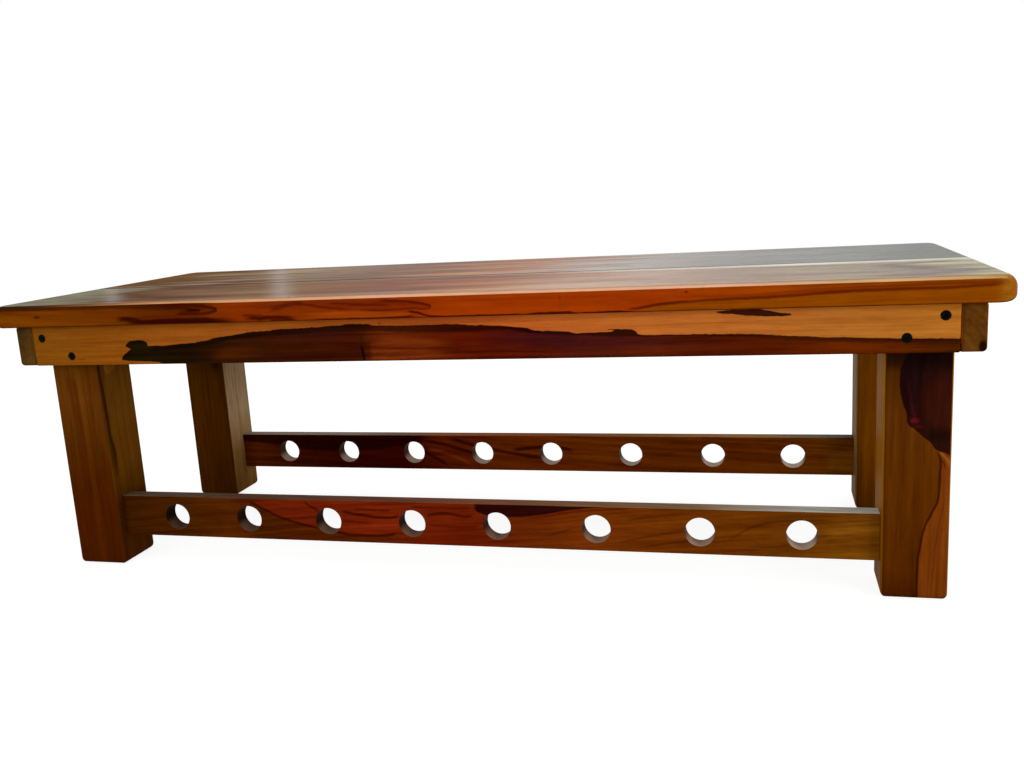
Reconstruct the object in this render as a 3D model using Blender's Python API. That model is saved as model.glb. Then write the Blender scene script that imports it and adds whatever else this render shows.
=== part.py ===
"""Low yoga bench of solid planks, in metres, +Z up, front towards -Y.

Two seat boards lie on a frame of four aprons that wrap four square legs. Each lower rail is tenoned into
a pair of legs and has a row of round holes bored through it, so that a rod or strap can pass from the front
rail to the rear one. The aprons are screwed to the legs, and cleats and a cross batten hold the seat boards
from below. The origin is on the floor under the middle of the frame.
"""

import math

import bmesh
import bpy
from mathutils import Matrix, Vector

# Clearance between pieces that touch, and how far a cutter runs past the face it cuts
FIT_GAP = 0.0003
CUT_OVERRUN = 0.004

# Frame of aprons, measured over its outer faces
FRAME_LENGTH = 1.000
FRAME_WIDTH = 0.366
APRON_HEIGHT = 0.045
LONG_APRON_THICKNESS = 0.022
END_APRON_THICKNESS = 0.022
APRON_EDGE_RADIUS = 0.0015
END_APRON_EDGE_RADIUS = 0.003

# Seat boards, which reach over the frame by one overhang in front and behind and by their own at each end
SEAT_OVERHANG = 0.017
SEAT_LEFT_OVERHANG = 0.017
SEAT_RIGHT_OVERHANG = 0.021
SEAT_THICKNESS = 0.024
FRONT_BOARD_WIDTH = 0.178
SEAM_GAP = 0.0008
SEAT_CORNER_RADIUS = 0.018
SEAM_CORNER_RADIUS = 0.003
SEAT_END_EDGE_RADIUS = 0.012
SEAT_END_UNDER_RADIUS = 0.006
SEAT_LONG_EDGE_RADIUS = 0.0040
SEAT_LONG_UNDER_RADIUS = 0.0020
SEAM_EDGE_RADIUS = 0.0012

# Legs
LEG_SIZE = 0.060
LEG_LENGTH = 0.2877
LEG_EDGE_RADIUS = 0.004
FOOT_EDGE_RADIUS = 0.005
LEG_TOP_EDGE_RADIUS = 0.0005

# Lower rails, their holes and tenons
RAIL_HEIGHT = 0.048
RAIL_THICKNESS = 0.019
RAIL_ABOVE_FLOOR = 0.0335
RAIL_SETBACK = 0.0105
RAIL_EDGE_RADIUS = 0.002
HOLE_DIAMETER = 0.030
HOLE_RIM = 0.0012
HOLE_SIDES = 24
# Places of the hand-marked holes, as shares of half the clear length between two legs
HOLE_PLACE_SHARES = (-0.830, -0.610, -0.377, -0.142, 0.086, 0.340, 0.592, 0.828)
TENON_LENGTH = 0.030
TENON_THICKNESS = 0.010
TENON_HEIGHT = 0.032
TENON_EDGE_RADIUS = 0.0008
GLUE_SPACE = 0.0010

# Cleats inside the aprons and the batten across the middle
CLEAT_THICKNESS = 0.018
CLEAT_HEIGHT = 0.018
BATTEN_WIDTH = 0.060
CLEAT_EDGE_RADIUS = 0.0010

# Countersunk screws: the apron ones show, the others are underneath
SCREW_SIDES = 10
HEAD_RECESS = 0.0004
APRON_SCREW = {"length": 0.045, "head": 0.0090, "shank": 0.0042, "cone": 0.0028, "tip": 0.0045}
SEAT_SCREW = {"length": 0.034, "head": 0.0080, "shank": 0.0038, "cone": 0.0025, "tip": 0.0040}
CLEAT_SCREW = {"length": 0.032, "head": 0.0080, "shank": 0.0038, "cone": 0.0025, "tip": 0.0040}
# Apron screws, a diagonal pair at each leg: distance in from the leg's outer face as a share of the leg's
# width, and distance below the apron's top edge as a share of its height
LEFT_SCREW_SHARES = ((0.19, 0.315), (0.78, 0.770))
RIGHT_SCREW_SHARES = ((0.21, 0.260), (0.735, 0.690))
END_SCREW_SHARES = ((0.20, 0.740), (0.76, 0.280))
# Screw places along the cleats, as shares of half the cleat's length
LONG_CLEAT_SEAT_SHARES = (-0.86, 0.02, 0.88)
LONG_CLEAT_SIDE_SHARES = (-0.60, 0.14, 0.64)
END_CLEAT_SEAT_SHARES = (-0.72, 0.72)
END_CLEAT_SIDE_SHARES = (-0.35, 0.35)
# Screw places in the batten, as shares of half its length and of half its width
BATTEN_SCREW_SHARES = ((-0.70, -0.5), (-0.30, 0.5), (0.30, -0.5), (0.70, 0.5))

# Steps of an eased edge, of the seat's rounded ends, and of the seat's outer and seam corners
EDGE_STEPS = 2
SEAT_END_STEPS = 4
SEAT_CORNER_STEPS = 7
SEAM_CORNER_STEPS = 2

# Places worked out from the sizes above
HALF_FRAME_LENGTH = FRAME_LENGTH / 2
HALF_FRAME_WIDTH = FRAME_WIDTH / 2
FRAME_TOP = LEG_LENGTH
APRON_MIDDLE = FRAME_TOP - APRON_HEIGHT / 2
LEG_OUTER_X = HALF_FRAME_LENGTH - END_APRON_THICKNESS - FIT_GAP
LEG_OUTER_Y = HALF_FRAME_WIDTH - LONG_APRON_THICKNESS - FIT_GAP
LEG_INNER_X = LEG_OUTER_X - LEG_SIZE
LEG_INNER_Y = LEG_OUTER_Y - LEG_SIZE
RAIL_MIDDLE_Y = LEG_OUTER_Y - RAIL_SETBACK - RAIL_THICKNESS / 2
RAIL_MIDDLE_Z = RAIL_ABOVE_FLOOR + RAIL_HEIGHT / 2
HALF_RAIL = LEG_INNER_X - FIT_GAP
CLEAT_MIDDLE_Z = FRAME_TOP - CLEAT_HEIGHT / 2
CLEAT_BOTTOM = FRAME_TOP - CLEAT_HEIGHT
LONG_CLEAT_Y = LEG_OUTER_Y - CLEAT_THICKNESS / 2
END_CLEAT_X = LEG_OUTER_X - CLEAT_THICKNESS / 2
HALF_LONG_CLEAT = LEG_INNER_X - FIT_GAP
HALF_END_CLEAT = LEG_INNER_Y - FIT_GAP
HALF_BATTEN = LEG_OUTER_Y - CLEAT_THICKNESS - FIT_GAP
SEAT_BOTTOM = FRAME_TOP + FIT_GAP
SEAT_LENGTH = FRAME_LENGTH + SEAT_LEFT_OVERHANG + SEAT_RIGHT_OVERHANG
SEAT_LEFT_END = -HALF_FRAME_LENGTH - SEAT_LEFT_OVERHANG
SEAT_HALF_WIDTH = HALF_FRAME_WIDTH + SEAT_OVERHANG
SEAM_FRONT = -SEAT_HALF_WIDTH + FRONT_BOARD_WIDTH
SEAM_REAR = SEAM_FRONT + SEAM_GAP

SIDES = {"front": -1, "rear": 1}
ENDS = {"left": -1, "right": 1}


def material(name, colour, roughness, metallic=0.0):
    """A plain Principled material."""
    made = bpy.data.materials.new(name)
    made.use_nodes = True
    shader = made.node_tree.nodes["Principled BSDF"]
    shader.inputs["Base Color"].default_value = (*colour, 1.0)
    shader.inputs["Roughness"].default_value = roughness
    shader.inputs["Metallic"].default_value = metallic
    return made


def finished_mesh(name, bm, look):
    """Turns a bmesh into a mesh with smooth round faces, sharp edges and its material."""
    bmesh.ops.recalc_face_normals(bm, faces=bm.faces)
    mesh = bpy.data.meshes.new(name)
    bm.to_mesh(mesh)
    bm.free()
    mesh.shade_smooth()
    mesh.set_sharp_from_angle(angle=math.radians(35))
    if look is not None:
        mesh.materials.append(look)
    return mesh


def add_object(name, bm, look):
    """Links a bmesh as one named object with one material."""
    made = bpy.data.objects.new(name, finished_mesh(name, bm, look))
    bpy.context.scene.collection.objects.link(made)
    return made


def add_cutter(name, bm):
    """A hidden object that only cuts others."""
    made = add_object(name, bm, None)
    made.hide_render = True
    made.display_type = "WIRE"
    return made


def cut(target, cutter):
    """Takes the cutter's shape out of the target."""
    boolean = target.modifiers.new("cut_" + cutter.name, "BOOLEAN")
    boolean.operation = "DIFFERENCE"
    boolean.object = cutter


def inset_at(depth, radius):
    """How far a rounded edge draws in at a depth below the face that it rounds off to."""
    if depth >= radius:
        return 0.0
    return radius - math.sqrt(radius**2 - (radius - depth) ** 2)


def edge_depths(radius, steps=EDGE_STEPS):
    """Depths below a face at which a rounded edge gets an outline."""
    return [radius * (1 - math.cos(math.pi / 2 * step / steps)) for step in range(steps + 1)]


def rounded_rectangle(half_u, half_v, radius, steps=EDGE_STEPS):
    """Points of a rectangle with round corners, anticlockwise about its centre."""
    points = []
    for quarter, (side_u, side_v) in enumerate(((1, 1), (-1, 1), (-1, -1), (1, -1))):
        for step in range(steps + 1):
            turn = math.pi / 2 * (quarter + step / steps)
            points.append(
                (
                    side_u * (half_u - radius) + radius * math.cos(turn),
                    side_v * (half_v - radius) + radius * math.sin(turn),
                )
            )
    return points


def loft(bm, outlines):
    """Skins closed outlines of equal count, given as lists of 3-D points, and caps both ends."""
    rings = [[bm.verts.new(point) for point in outline] for outline in outlines]
    count = len(rings[0])
    for lower, upper in zip(rings, rings[1:]):
        for i in range(count):
            j = (i + 1) % count
            bm.faces.new((lower[i], lower[j], upper[j], upper[i]))
    bm.faces.new(reversed(rings[0]))
    bm.faces.new(rings[-1])


def bar_sections(length, half_u, half_v, edge_radius, start_radius, end_radius):
    """(place, half_u, half_v, corner radius) along a bar whose two ends are rounded off as asked."""
    sections = []
    for depth in edge_depths(start_radius):
        inset = inset_at(depth, start_radius)
        sections.append((depth, half_u - inset, half_v - inset, max(edge_radius - inset, edge_radius / 4)))
    for depth in reversed(edge_depths(end_radius)):
        inset = inset_at(depth, end_radius)
        sections.append(
            (length - depth, half_u - inset, half_v - inset, max(edge_radius - inset, edge_radius / 4))
        )
    return sections


def bar(axis, centre, size, edge_radius, start_radius=None, end_radius=None):
    """A straight bar along X, Y or Z with rounded edges. The two ends can be rounded by other radii."""
    along = "XYZ".index(axis)
    u, v = (along + 1) % 3, (along + 2) % 3
    start_radius = edge_radius if start_radius is None else start_radius
    end_radius = edge_radius if end_radius is None else end_radius
    sections = bar_sections(size[along], size[u] / 2, size[v] / 2, edge_radius, start_radius, end_radius)
    outlines = []
    for place, half_u, half_v, radius in sections:
        outline = []
        for point_u, point_v in rounded_rectangle(half_u, half_v, radius):
            point = Vector(centre)
            point[along] += place - size[along] / 2
            point[u] += point_u
            point[v] += point_v
            outline.append(point)
        outlines.append(outline)
    bm = bmesh.new()
    loft(bm, outlines)
    return bm


def turned(bm, profile, start, direction, sides=SCREW_SIDES):
    """Adds a body of revolution: profile holds (distance along direction, radius), where radius 0 is a tip."""
    turn = Vector((0, 0, 1)).rotation_difference(Vector(direction)).to_matrix().to_4x4()
    place = Matrix.Translation(Vector(start)) @ turn
    rings = []
    for along, radius in profile:
        if radius == 0:
            rings.append([bm.verts.new(place @ Vector((0, 0, along)))])
            continue
        angles = [2 * math.pi * (i + 0.5) / sides for i in range(sides)]
        points = [Vector((radius * math.cos(a), radius * math.sin(a), along)) for a in angles]
        rings.append([bm.verts.new(place @ point) for point in points])
    for lower, upper in zip(rings, rings[1:]):
        for i in range(sides):
            j = (i + 1) % sides
            if len(upper) == 1:
                bm.faces.new((lower[i], lower[j], upper[0]))
            else:
                bm.faces.new((lower[i], lower[j], upper[j], upper[i]))
    bm.faces.new(reversed(rings[0]))
    if len(rings[-1]) > 1:
        bm.faces.new(rings[-1])


def screw_mesh(name, screw, look):
    """The mesh that like screws share, with its tip towards +Z from the face that the screw goes into."""
    bm = bmesh.new()
    profile = [
        (HEAD_RECESS, screw["head"] / 2),
        (HEAD_RECESS + screw["cone"], screw["shank"] / 2),
        (HEAD_RECESS + screw["length"] - screw["tip"], screw["shank"] / 2),
        (HEAD_RECESS + screw["length"], 0),
    ]
    turned(bm, profile, (0, 0, 0), (0, 0, 1))
    return finished_mesh(name, bm, look)


def screw_hole_profile(screw):
    """Outline of the countersunk hole that leaves the screw its clearance."""
    head = screw["head"] / 2 + FIT_GAP
    shank = screw["shank"] / 2 + FIT_GAP
    return [
        (-CUT_OVERRUN, head),
        (HEAD_RECESS, head),
        (HEAD_RECESS + screw["cone"], shank),
        (HEAD_RECESS + screw["length"] + GLUE_SPACE, shank),
    ]


def add_screws(name, screw, mesh, places, targets):
    """A screw for each (point on the face, direction) in places, and one cutter for all their holes."""
    holes = bmesh.new()
    for number, (point, direction) in enumerate(places, start=1):
        made = bpy.data.objects.new(f"{name}_{number}", mesh)
        made.location = point
        made.rotation_mode = "QUATERNION"
        made.rotation_quaternion = Vector((0, 0, 1)).rotation_difference(Vector(direction))
        bpy.context.scene.collection.objects.link(made)
        turned(holes, screw_hole_profile(screw), point, direction)
    cutter = add_cutter(name + "_holes", holes)
    for target in targets:
        cut(target, cutter)


def board_corner(x, y, inset_x, inset_y, radius, steps):
    """Round corner of the left end of a seat board, from its end face to its long edge.

    x and y are the signs of the corner, and the two insets are those of the edges that meet there. They draw
    the corner in, but leave it a quarter of its radius.
    """
    reach_x = max(radius - inset_x, radius / 4)
    reach_y = max(radius - inset_y, radius / 4)
    points = []
    for step in range(steps + 1):
        turn = math.pi / 2 * step / steps
        in_x = inset_x + reach_x * (1 - math.cos(turn))
        in_y = inset_y + reach_y * (1 - math.sin(turn))
        points.append((x * in_x, y * in_y))
    return points


def seat_board(name, outer_side, width, look):
    """A seat board: round outer corners, ends and long edge rounder above than below, an eased seam edge."""
    levels = []
    for face, away, end_radius, long_radius in (
        (0, 1, SEAT_END_UNDER_RADIUS, SEAT_LONG_UNDER_RADIUS),
        (SEAT_THICKNESS, -1, SEAT_END_EDGE_RADIUS, SEAT_LONG_EDGE_RADIUS),
    ):
        radii = (end_radius, long_radius, SEAM_EDGE_RADIUS)
        depths = {*edge_depths(end_radius, SEAT_END_STEPS), *edge_depths(long_radius)}
        for depth in depths.union(edge_depths(SEAM_EDGE_RADIUS)):
            levels.append((face + away * depth, [inset_at(depth, radius) for radius in radii]))
    outlines = []
    for height, (end, long_edge, seam) in sorted(levels):
        # Across the board: 0 is its outer edge, width its seam edge; along it: 0 is its left end
        outline = [
            (x, width + y)
            for x, y in board_corner(1, -1, end, seam, SEAM_CORNER_RADIUS, SEAM_CORNER_STEPS)
        ]
        outline.reverse()
        outline += board_corner(1, 1, end, long_edge, SEAT_CORNER_RADIUS, SEAT_CORNER_STEPS)
        outline += [(SEAT_LENGTH - x, y) for x, y in reversed(outline)]
        outlines.append(
            [
                Vector((SEAT_LEFT_END + x, outer_side * (SEAT_HALF_WIDTH - y), SEAT_BOTTOM + height))
                for x, y in outline
            ]
        )
    bm = bmesh.new()
    loft(bm, outlines)
    return add_object(name, bm, look)


def long_apron(name, side, look):
    """A front or rear apron, which fits between the end aprons."""
    length = FRAME_LENGTH - 2 * (END_APRON_THICKNESS + FIT_GAP)
    centre = (0, side * (HALF_FRAME_WIDTH - LONG_APRON_THICKNESS / 2), APRON_MIDDLE)
    size = (length, LONG_APRON_THICKNESS, APRON_HEIGHT)
    return add_object(name, bar("X", centre, size, APRON_EDGE_RADIUS), look)


def end_apron(name, end, look):
    """An end apron, whose end grain shows at the front and at the rear."""
    centre = (end * (HALF_FRAME_LENGTH - END_APRON_THICKNESS / 2), 0, APRON_MIDDLE)
    size = (END_APRON_THICKNESS, FRAME_WIDTH, APRON_HEIGHT)
    return add_object(name, bar("Y", centre, size, END_APRON_EDGE_RADIUS), look)


def leg(name, end, side, look):
    """A square leg with soft edges, its foot rounded off, and a mortise for the rail's tenon."""
    centre = (end * (LEG_OUTER_X - LEG_SIZE / 2), side * (LEG_OUTER_Y - LEG_SIZE / 2), LEG_LENGTH / 2)
    shape = bar(
        "Z", centre, (LEG_SIZE, LEG_SIZE, LEG_LENGTH), LEG_EDGE_RADIUS, FOOT_EDGE_RADIUS, LEG_TOP_EDGE_RADIUS
    )
    made = add_object(name, shape, look)
    depth = TENON_LENGTH + GLUE_SPACE
    mortise = bar(
        "X",
        (end * (LEG_INNER_X + (depth - CUT_OVERRUN) / 2), side * RAIL_MIDDLE_Y, RAIL_MIDDLE_Z),
        (depth + CUT_OVERRUN, TENON_THICKNESS + 2 * FIT_GAP, TENON_HEIGHT + 2 * FIT_GAP),
        TENON_EDGE_RADIUS,
    )
    cut(made, add_cutter(name + "_mortise", mortise))
    return made


def rail(name, side, look):
    """A lower rail with a tenon at each end and a row of through holes."""
    tenon = (TENON_THICKNESS / 2, TENON_HEIGHT / 2, TENON_EDGE_RADIUS)
    full = (RAIL_THICKNESS / 2, RAIL_HEIGHT / 2, RAIL_EDGE_RADIUS)
    half_over_tenons = HALF_RAIL + TENON_LENGTH
    sections = (
        (-half_over_tenons, *tenon),
        (-HALF_RAIL, *tenon),
        (-HALF_RAIL, *full),
        (HALF_RAIL, *full),
        (HALF_RAIL, *tenon),
        (half_over_tenons, *tenon),
    )
    outlines = [
        [
            Vector((x, side * RAIL_MIDDLE_Y + y, RAIL_MIDDLE_Z + z))
            for y, z in rounded_rectangle(half_y, half_z, radius)
        ]
        for x, half_y, half_z, radius in sections
    ]
    bm = bmesh.new()
    loft(bm, outlines)
    made = add_object(name, bm, look)
    holes = bmesh.new()
    bore = HOLE_DIAMETER / 2
    flare = HOLE_RIM + CUT_OVERRUN
    run = RAIL_THICKNESS / 2 + CUT_OVERRUN
    profile = ((0, bore + flare), (flare, bore), (2 * run - flare, bore), (2 * run, bore + flare))
    for share in HOLE_PLACE_SHARES:
        start = (share * LEG_INNER_X, side * RAIL_MIDDLE_Y - run, RAIL_MIDDLE_Z)
        turned(holes, profile, start, (0, 1, 0), HOLE_SIDES)
    cut(made, add_cutter(name + "_holes", holes))
    return made


def long_cleat(name, side, look):
    """A cleat along the inside of a front or rear apron, between the legs."""
    centre = (0, side * LONG_CLEAT_Y, CLEAT_MIDDLE_Z)
    size = (2 * HALF_LONG_CLEAT, CLEAT_THICKNESS, CLEAT_HEIGHT)
    return add_object(name, bar("X", centre, size, CLEAT_EDGE_RADIUS), look)


def end_cleat(name, end, look):
    """A cleat along the inside of an end apron, between the legs. It crosses the seam of the seat."""
    centre = (end * END_CLEAT_X, 0, CLEAT_MIDDLE_Z)
    size = (CLEAT_THICKNESS, 2 * HALF_END_CLEAT, CLEAT_HEIGHT)
    return add_object(name, bar("Y", centre, size, CLEAT_EDGE_RADIUS), look)


def cross_batten(name, look):
    """The batten across the middle, which keeps the two seat boards level with each other."""
    size = (BATTEN_WIDTH, 2 * HALF_BATTEN, CLEAT_HEIGHT)
    return add_object(name, bar("Y", (0, 0, CLEAT_MIDDLE_Z), size, CLEAT_EDGE_RADIUS), look)


def build():
    """Makes every piece of the bench and joins them with their screws."""
    for old in list(bpy.data.objects):
        bpy.data.objects.remove(old)

    seat_wood = material("seat_wood", (0.42, 0.16, 0.04), 0.30)
    apron_wood = material("apron_wood", (0.36, 0.15, 0.04), 0.40)
    leg_wood = material("leg_wood", (0.16, 0.065, 0.02), 0.45)
    rail_wood = material("rail_wood", (0.20, 0.065, 0.02), 0.40)
    cleat_wood = material("cleat_wood", (0.34, 0.20, 0.09), 0.65)
    black_steel = material("black_steel", (0.015, 0.015, 0.016), 0.40, 0.6)

    seat = {
        "front": seat_board("front_seat_board", -1, FRONT_BOARD_WIDTH, seat_wood),
        "rear": seat_board("rear_seat_board", 1, SEAT_HALF_WIDTH - SEAM_REAR, seat_wood),
    }
    long_aprons = {side: long_apron(side + "_apron", sign, apron_wood) for side, sign in SIDES.items()}
    end_aprons = {end: end_apron(end + "_end_apron", sign, apron_wood) for end, sign in ENDS.items()}
    legs = {
        (side, end): leg(f"{side}_{end}_leg", end_sign, side_sign, leg_wood)
        for side, side_sign in SIDES.items()
        for end, end_sign in ENDS.items()
    }
    for side, sign in SIDES.items():
        rail(side + "_rail", sign, rail_wood)
    long_cleats = {side: long_cleat(side + "_cleat", sign, cleat_wood) for side, sign in SIDES.items()}
    end_cleats = {end: end_cleat(end + "_end_cleat", sign, cleat_wood) for end, sign in ENDS.items()}
    batten = cross_batten("cross_batten", cleat_wood)

    apron_screw = screw_mesh("apron_screw", APRON_SCREW, black_steel)
    for side, sign in SIDES.items():
        places = []
        for end, shares in ((-1, LEFT_SCREW_SHARES), (1, RIGHT_SCREW_SHARES)):
            for inward, below in shares:
                place_x = end * (LEG_OUTER_X - inward * LEG_SIZE)
                place_z = FRAME_TOP - below * APRON_HEIGHT
                places.append(((place_x, sign * HALF_FRAME_WIDTH, place_z), (0, -sign, 0)))
        targets = [long_aprons[side]] + [legs[side, end] for end in ENDS]
        add_screws(side + "_apron_screw", APRON_SCREW, apron_screw, places, targets)
    for end, sign in ENDS.items():
        places = []
        for side in SIDES.values():
            for inward, below in END_SCREW_SHARES:
                place_y = side * (LEG_OUTER_Y - inward * LEG_SIZE)
                place_z = FRAME_TOP - below * APRON_HEIGHT
                places.append(((sign * HALF_FRAME_LENGTH, place_y, place_z), (-sign, 0, 0)))
        targets = [end_aprons[end]] + [legs[side, end] for side in SIDES]
        add_screws(end + "_apron_screw", APRON_SCREW, apron_screw, places, targets)

    seat_places = [
        ((share * HALF_LONG_CLEAT, sign * LONG_CLEAT_Y, CLEAT_BOTTOM), (0, 0, 1))
        for sign in SIDES.values()
        for share in LONG_CLEAT_SEAT_SHARES
    ]
    seat_places += [
        ((sign * END_CLEAT_X, share * HALF_END_CLEAT, CLEAT_BOTTOM), (0, 0, 1))
        for sign in ENDS.values()
        for share in END_CLEAT_SEAT_SHARES
    ]
    seat_places += [
        ((share_u * BATTEN_WIDTH / 2, share_v * HALF_BATTEN, CLEAT_BOTTOM), (0, 0, 1))
        for share_v, share_u in BATTEN_SCREW_SHARES
    ]
    held = [*long_cleats.values(), *end_cleats.values(), batten, *seat.values()]
    seat_screw = screw_mesh("seat_screw", SEAT_SCREW, black_steel)
    add_screws("seat_screw", SEAT_SCREW, seat_screw, seat_places, held)

    side_places = [
        ((share * HALF_LONG_CLEAT, sign * (LONG_CLEAT_Y - CLEAT_THICKNESS / 2), CLEAT_MIDDLE_Z), (0, sign, 0))
        for sign in SIDES.values()
        for share in LONG_CLEAT_SIDE_SHARES
    ]
    side_places += [
        ((sign * (END_CLEAT_X - CLEAT_THICKNESS / 2), share * HALF_END_CLEAT, CLEAT_MIDDLE_Z), (sign, 0, 0))
        for sign in ENDS.values()
        for share in END_CLEAT_SIDE_SHARES
    ]
    held = [*long_cleats.values(), *end_cleats.values(), *long_aprons.values(), *end_aprons.values()]
    cleat_screw = screw_mesh("cleat_screw", CLEAT_SCREW, black_steel)
    add_screws("cleat_screw", CLEAT_SCREW, cleat_screw, side_places, held)


build()
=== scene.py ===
"""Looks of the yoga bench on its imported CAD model: finer wood pieces, screws, light, floor and camera.

Lengths are in metres in the row frame: X along the bench, front towards -Y, Z up from the floor. The wood is
made of nodes alone. Growth rings, fibres and pores run through the solid, and each piece then gets the
figure of its own faces, drawn as outlines on the face in millimetres.
"""

import math

import bmesh
import bpy
from mathutils import Matrix, Vector


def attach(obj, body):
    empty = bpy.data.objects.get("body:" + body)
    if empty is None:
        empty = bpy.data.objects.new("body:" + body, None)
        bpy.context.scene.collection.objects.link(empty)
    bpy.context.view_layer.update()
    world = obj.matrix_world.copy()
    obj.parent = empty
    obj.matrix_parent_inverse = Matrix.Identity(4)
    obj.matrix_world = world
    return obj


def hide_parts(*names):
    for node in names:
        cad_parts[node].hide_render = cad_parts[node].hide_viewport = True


# The CAD model, and the sizes that the finer pieces share with it

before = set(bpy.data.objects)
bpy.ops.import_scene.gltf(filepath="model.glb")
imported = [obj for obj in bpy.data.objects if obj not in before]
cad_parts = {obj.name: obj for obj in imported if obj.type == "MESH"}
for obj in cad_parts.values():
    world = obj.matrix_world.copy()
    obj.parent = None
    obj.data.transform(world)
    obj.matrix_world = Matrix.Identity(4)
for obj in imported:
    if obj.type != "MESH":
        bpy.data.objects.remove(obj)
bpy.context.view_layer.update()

MM = 0.001
FIT_GAP = 0.0003
CUT_OVERRUN = 0.004
SIDES = {"front": -1, "rear": 1}
ENDS = {"left": -1, "right": 1}

FRAME_LENGTH = 1.000
FRAME_WIDTH = 0.366
FRAME_TOP = 0.2877
APRON_HEIGHT = 0.045
APRON_THICKNESS = 0.022
APRON_MIDDLE = FRAME_TOP - APRON_HEIGHT / 2
LONG_APRON_EDGE = 0.0015
END_APRON_EDGE = 0.0042
SEAT_LEFT_END = -0.517
SEAT_LENGTH = 1.038
SEAT_HALF_WIDTH = 0.200
SEAT_BOTTOM = FRAME_TOP + FIT_GAP
SEAT_THICKNESS = 0.024
SEAM_FRONT = -0.022
SEAM_REAR = -0.0212
SEAT_CORNER_RADIUS = 0.018
SEAM_CORNER_RADIUS = 0.003
# Radii of the seat's edges, under it and on top: at the ends, along the outer edge and along the seam
SEAT_EDGES = ((0.006, 0.002, 0.0012), (0.012, 0.004, 0.0012))
SEAT_EDGE_STEPS = (10, 6, 3)
LEG_SIZE = 0.060
LEG_EDGE = 0.004
FOOT_EDGE = 0.006
LEG_TOP_EDGE = 0.0005
LEG_OUTER_X = FRAME_LENGTH / 2 - APRON_THICKNESS - FIT_GAP
LEG_OUTER_Y = FRAME_WIDTH / 2 - APRON_THICKNESS - FIT_GAP
LEG_INNER_X = LEG_OUTER_X - LEG_SIZE
RAIL_Y = 0.1407
RAIL_Z = 0.0575
RAIL_THICKNESS = 0.019
RAIL_HEIGHT = 0.048
RAIL_EDGE = 0.002
HALF_RAIL = LEG_INNER_X - FIT_GAP
TENON = {"length": 0.030, "thickness": 0.010, "height": 0.032, "edge": 0.0008}
MORTISE_DEPTH = 0.031
HOLE_SHARES = (-0.830, -0.610, -0.377, -0.142, 0.086, 0.340, 0.592, 0.828)
HOLE_RADIUS = 0.015
HOLE_RIM = 0.0005
# Apron screws at each leg, as (distance in from the leg's outer face, distance below the frame's top)
LEFT_SCREWS = ((0.0114, 0.014175), (0.0468, 0.03465))
RIGHT_SCREWS = ((0.0126, 0.0117), (0.0441, 0.03105))
END_SCREWS = ((0.0120, 0.0333), (0.0456, 0.0126))
SEAT_SCREWS = 14
CLEAT_SCREWS = 10
SCREW_LENGTH = 0.045
SCREW_HEAD = 0.0045
SCREW_HEAD_EDGE = 0.0003
SCREW_SHANK = 0.0021
SCREW_CONE = 0.0028
SCREW_NECK_SHARE = 0.95
HEAD_RECESS = 0.0004
THREAD_START = 0.012
THREAD_STOP = 0.006
THREAD_PITCH = 0.0020
THREAD_FLANKS = (0.0007, 0.0009)
THREAD_CORE_SHARE = 0.72
SCREW_POINT = 0.0045
SCREW_POINT_SHARE = 0.7
# The cross recess of a screw's head: depth, and half its length and width at the mouth and at the bottom
CROSS_DEPTH = 0.0020
CROSS_MOUTH = (0.0026, 0.00042)
CROSS_BOTTOM = (0.0008, 0.00030)
CROSS_OVERRUN = 0.001
BORE_CLEARANCE = 0.0002
COUNTERSINK_RIM = 0.0003
BORE_DEPTH = 0.046
LEG_BORE_START = 0.018
SHARP_ANGLE = math.radians(40)


# Node trees

# Where a colour mix node has its factor and its two colours, and where it has its result
MIX_INPUTS = (0, 6, 7)
MIX_OUTPUT = 2
# How many points of a line one curve node holds
SPAN_POINTS = 10


def tone(red, green, blue):
    """A colour written in the 0 to 255 numbers of a picture, as light."""
    light = []
    for part in (red, green, blue):
        share = part / 255
        light.append(share / 12.92 if share <= 0.04045 else ((share + 0.055) / 1.055) ** 2.4)
    return tuple(light)


def arithmetic(operation, turned=False):
    """A method that works out an operation in a node, its two numbers as they come or in turned order."""

    def method(value, other):
        numbers = (other, value) if turned else (value, other)
        return value.net.math(operation, *numbers)

    return method


class Value:
    """A number or colour in a material's node tree, which can be used in arithmetic."""

    def __init__(self, net, socket):
        self.net = net
        self.socket = socket

    def __abs__(self):
        return self.net.math("ABSOLUTE", self)

    __add__ = arithmetic("ADD")
    __radd__ = arithmetic("ADD", turned=True)
    __sub__ = arithmetic("SUBTRACT")
    __rsub__ = arithmetic("SUBTRACT", turned=True)
    __mul__ = arithmetic("MULTIPLY")
    __rmul__ = arithmetic("MULTIPLY", turned=True)
    __truediv__ = arithmetic("DIVIDE")


class Tree:
    """Builds the node tree of a material or a world."""

    def __init__(self, owner):
        owner.use_nodes = True
        self.nodes = owner.node_tree.nodes
        self.links = owner.node_tree.links

    def node(self, kind, *inputs, **settings):
        """A new node, with numbers, colours or links for its first inputs."""
        made = self.nodes.new(kind)
        for key, value in settings.items():
            setattr(made, key, value)
        for socket, value in zip(made.inputs, inputs):
            self.put(socket, value)
        return made

    def put(self, socket, value):
        if isinstance(value, Value):
            self.links.new(value.socket, socket)
        elif isinstance(value, bpy.types.NodeSocket):
            self.links.new(value, socket)
        elif isinstance(value, tuple) and socket.type == "RGBA":
            socket.default_value = (*value, 1.0)
        else:
            socket.default_value = value

    def feed(self, made, **inputs):
        """Fills inputs of a node that are called by name."""
        for name, value in inputs.items():
            self.put(made.inputs[name.replace("_", " ")], value)
        return made


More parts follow.
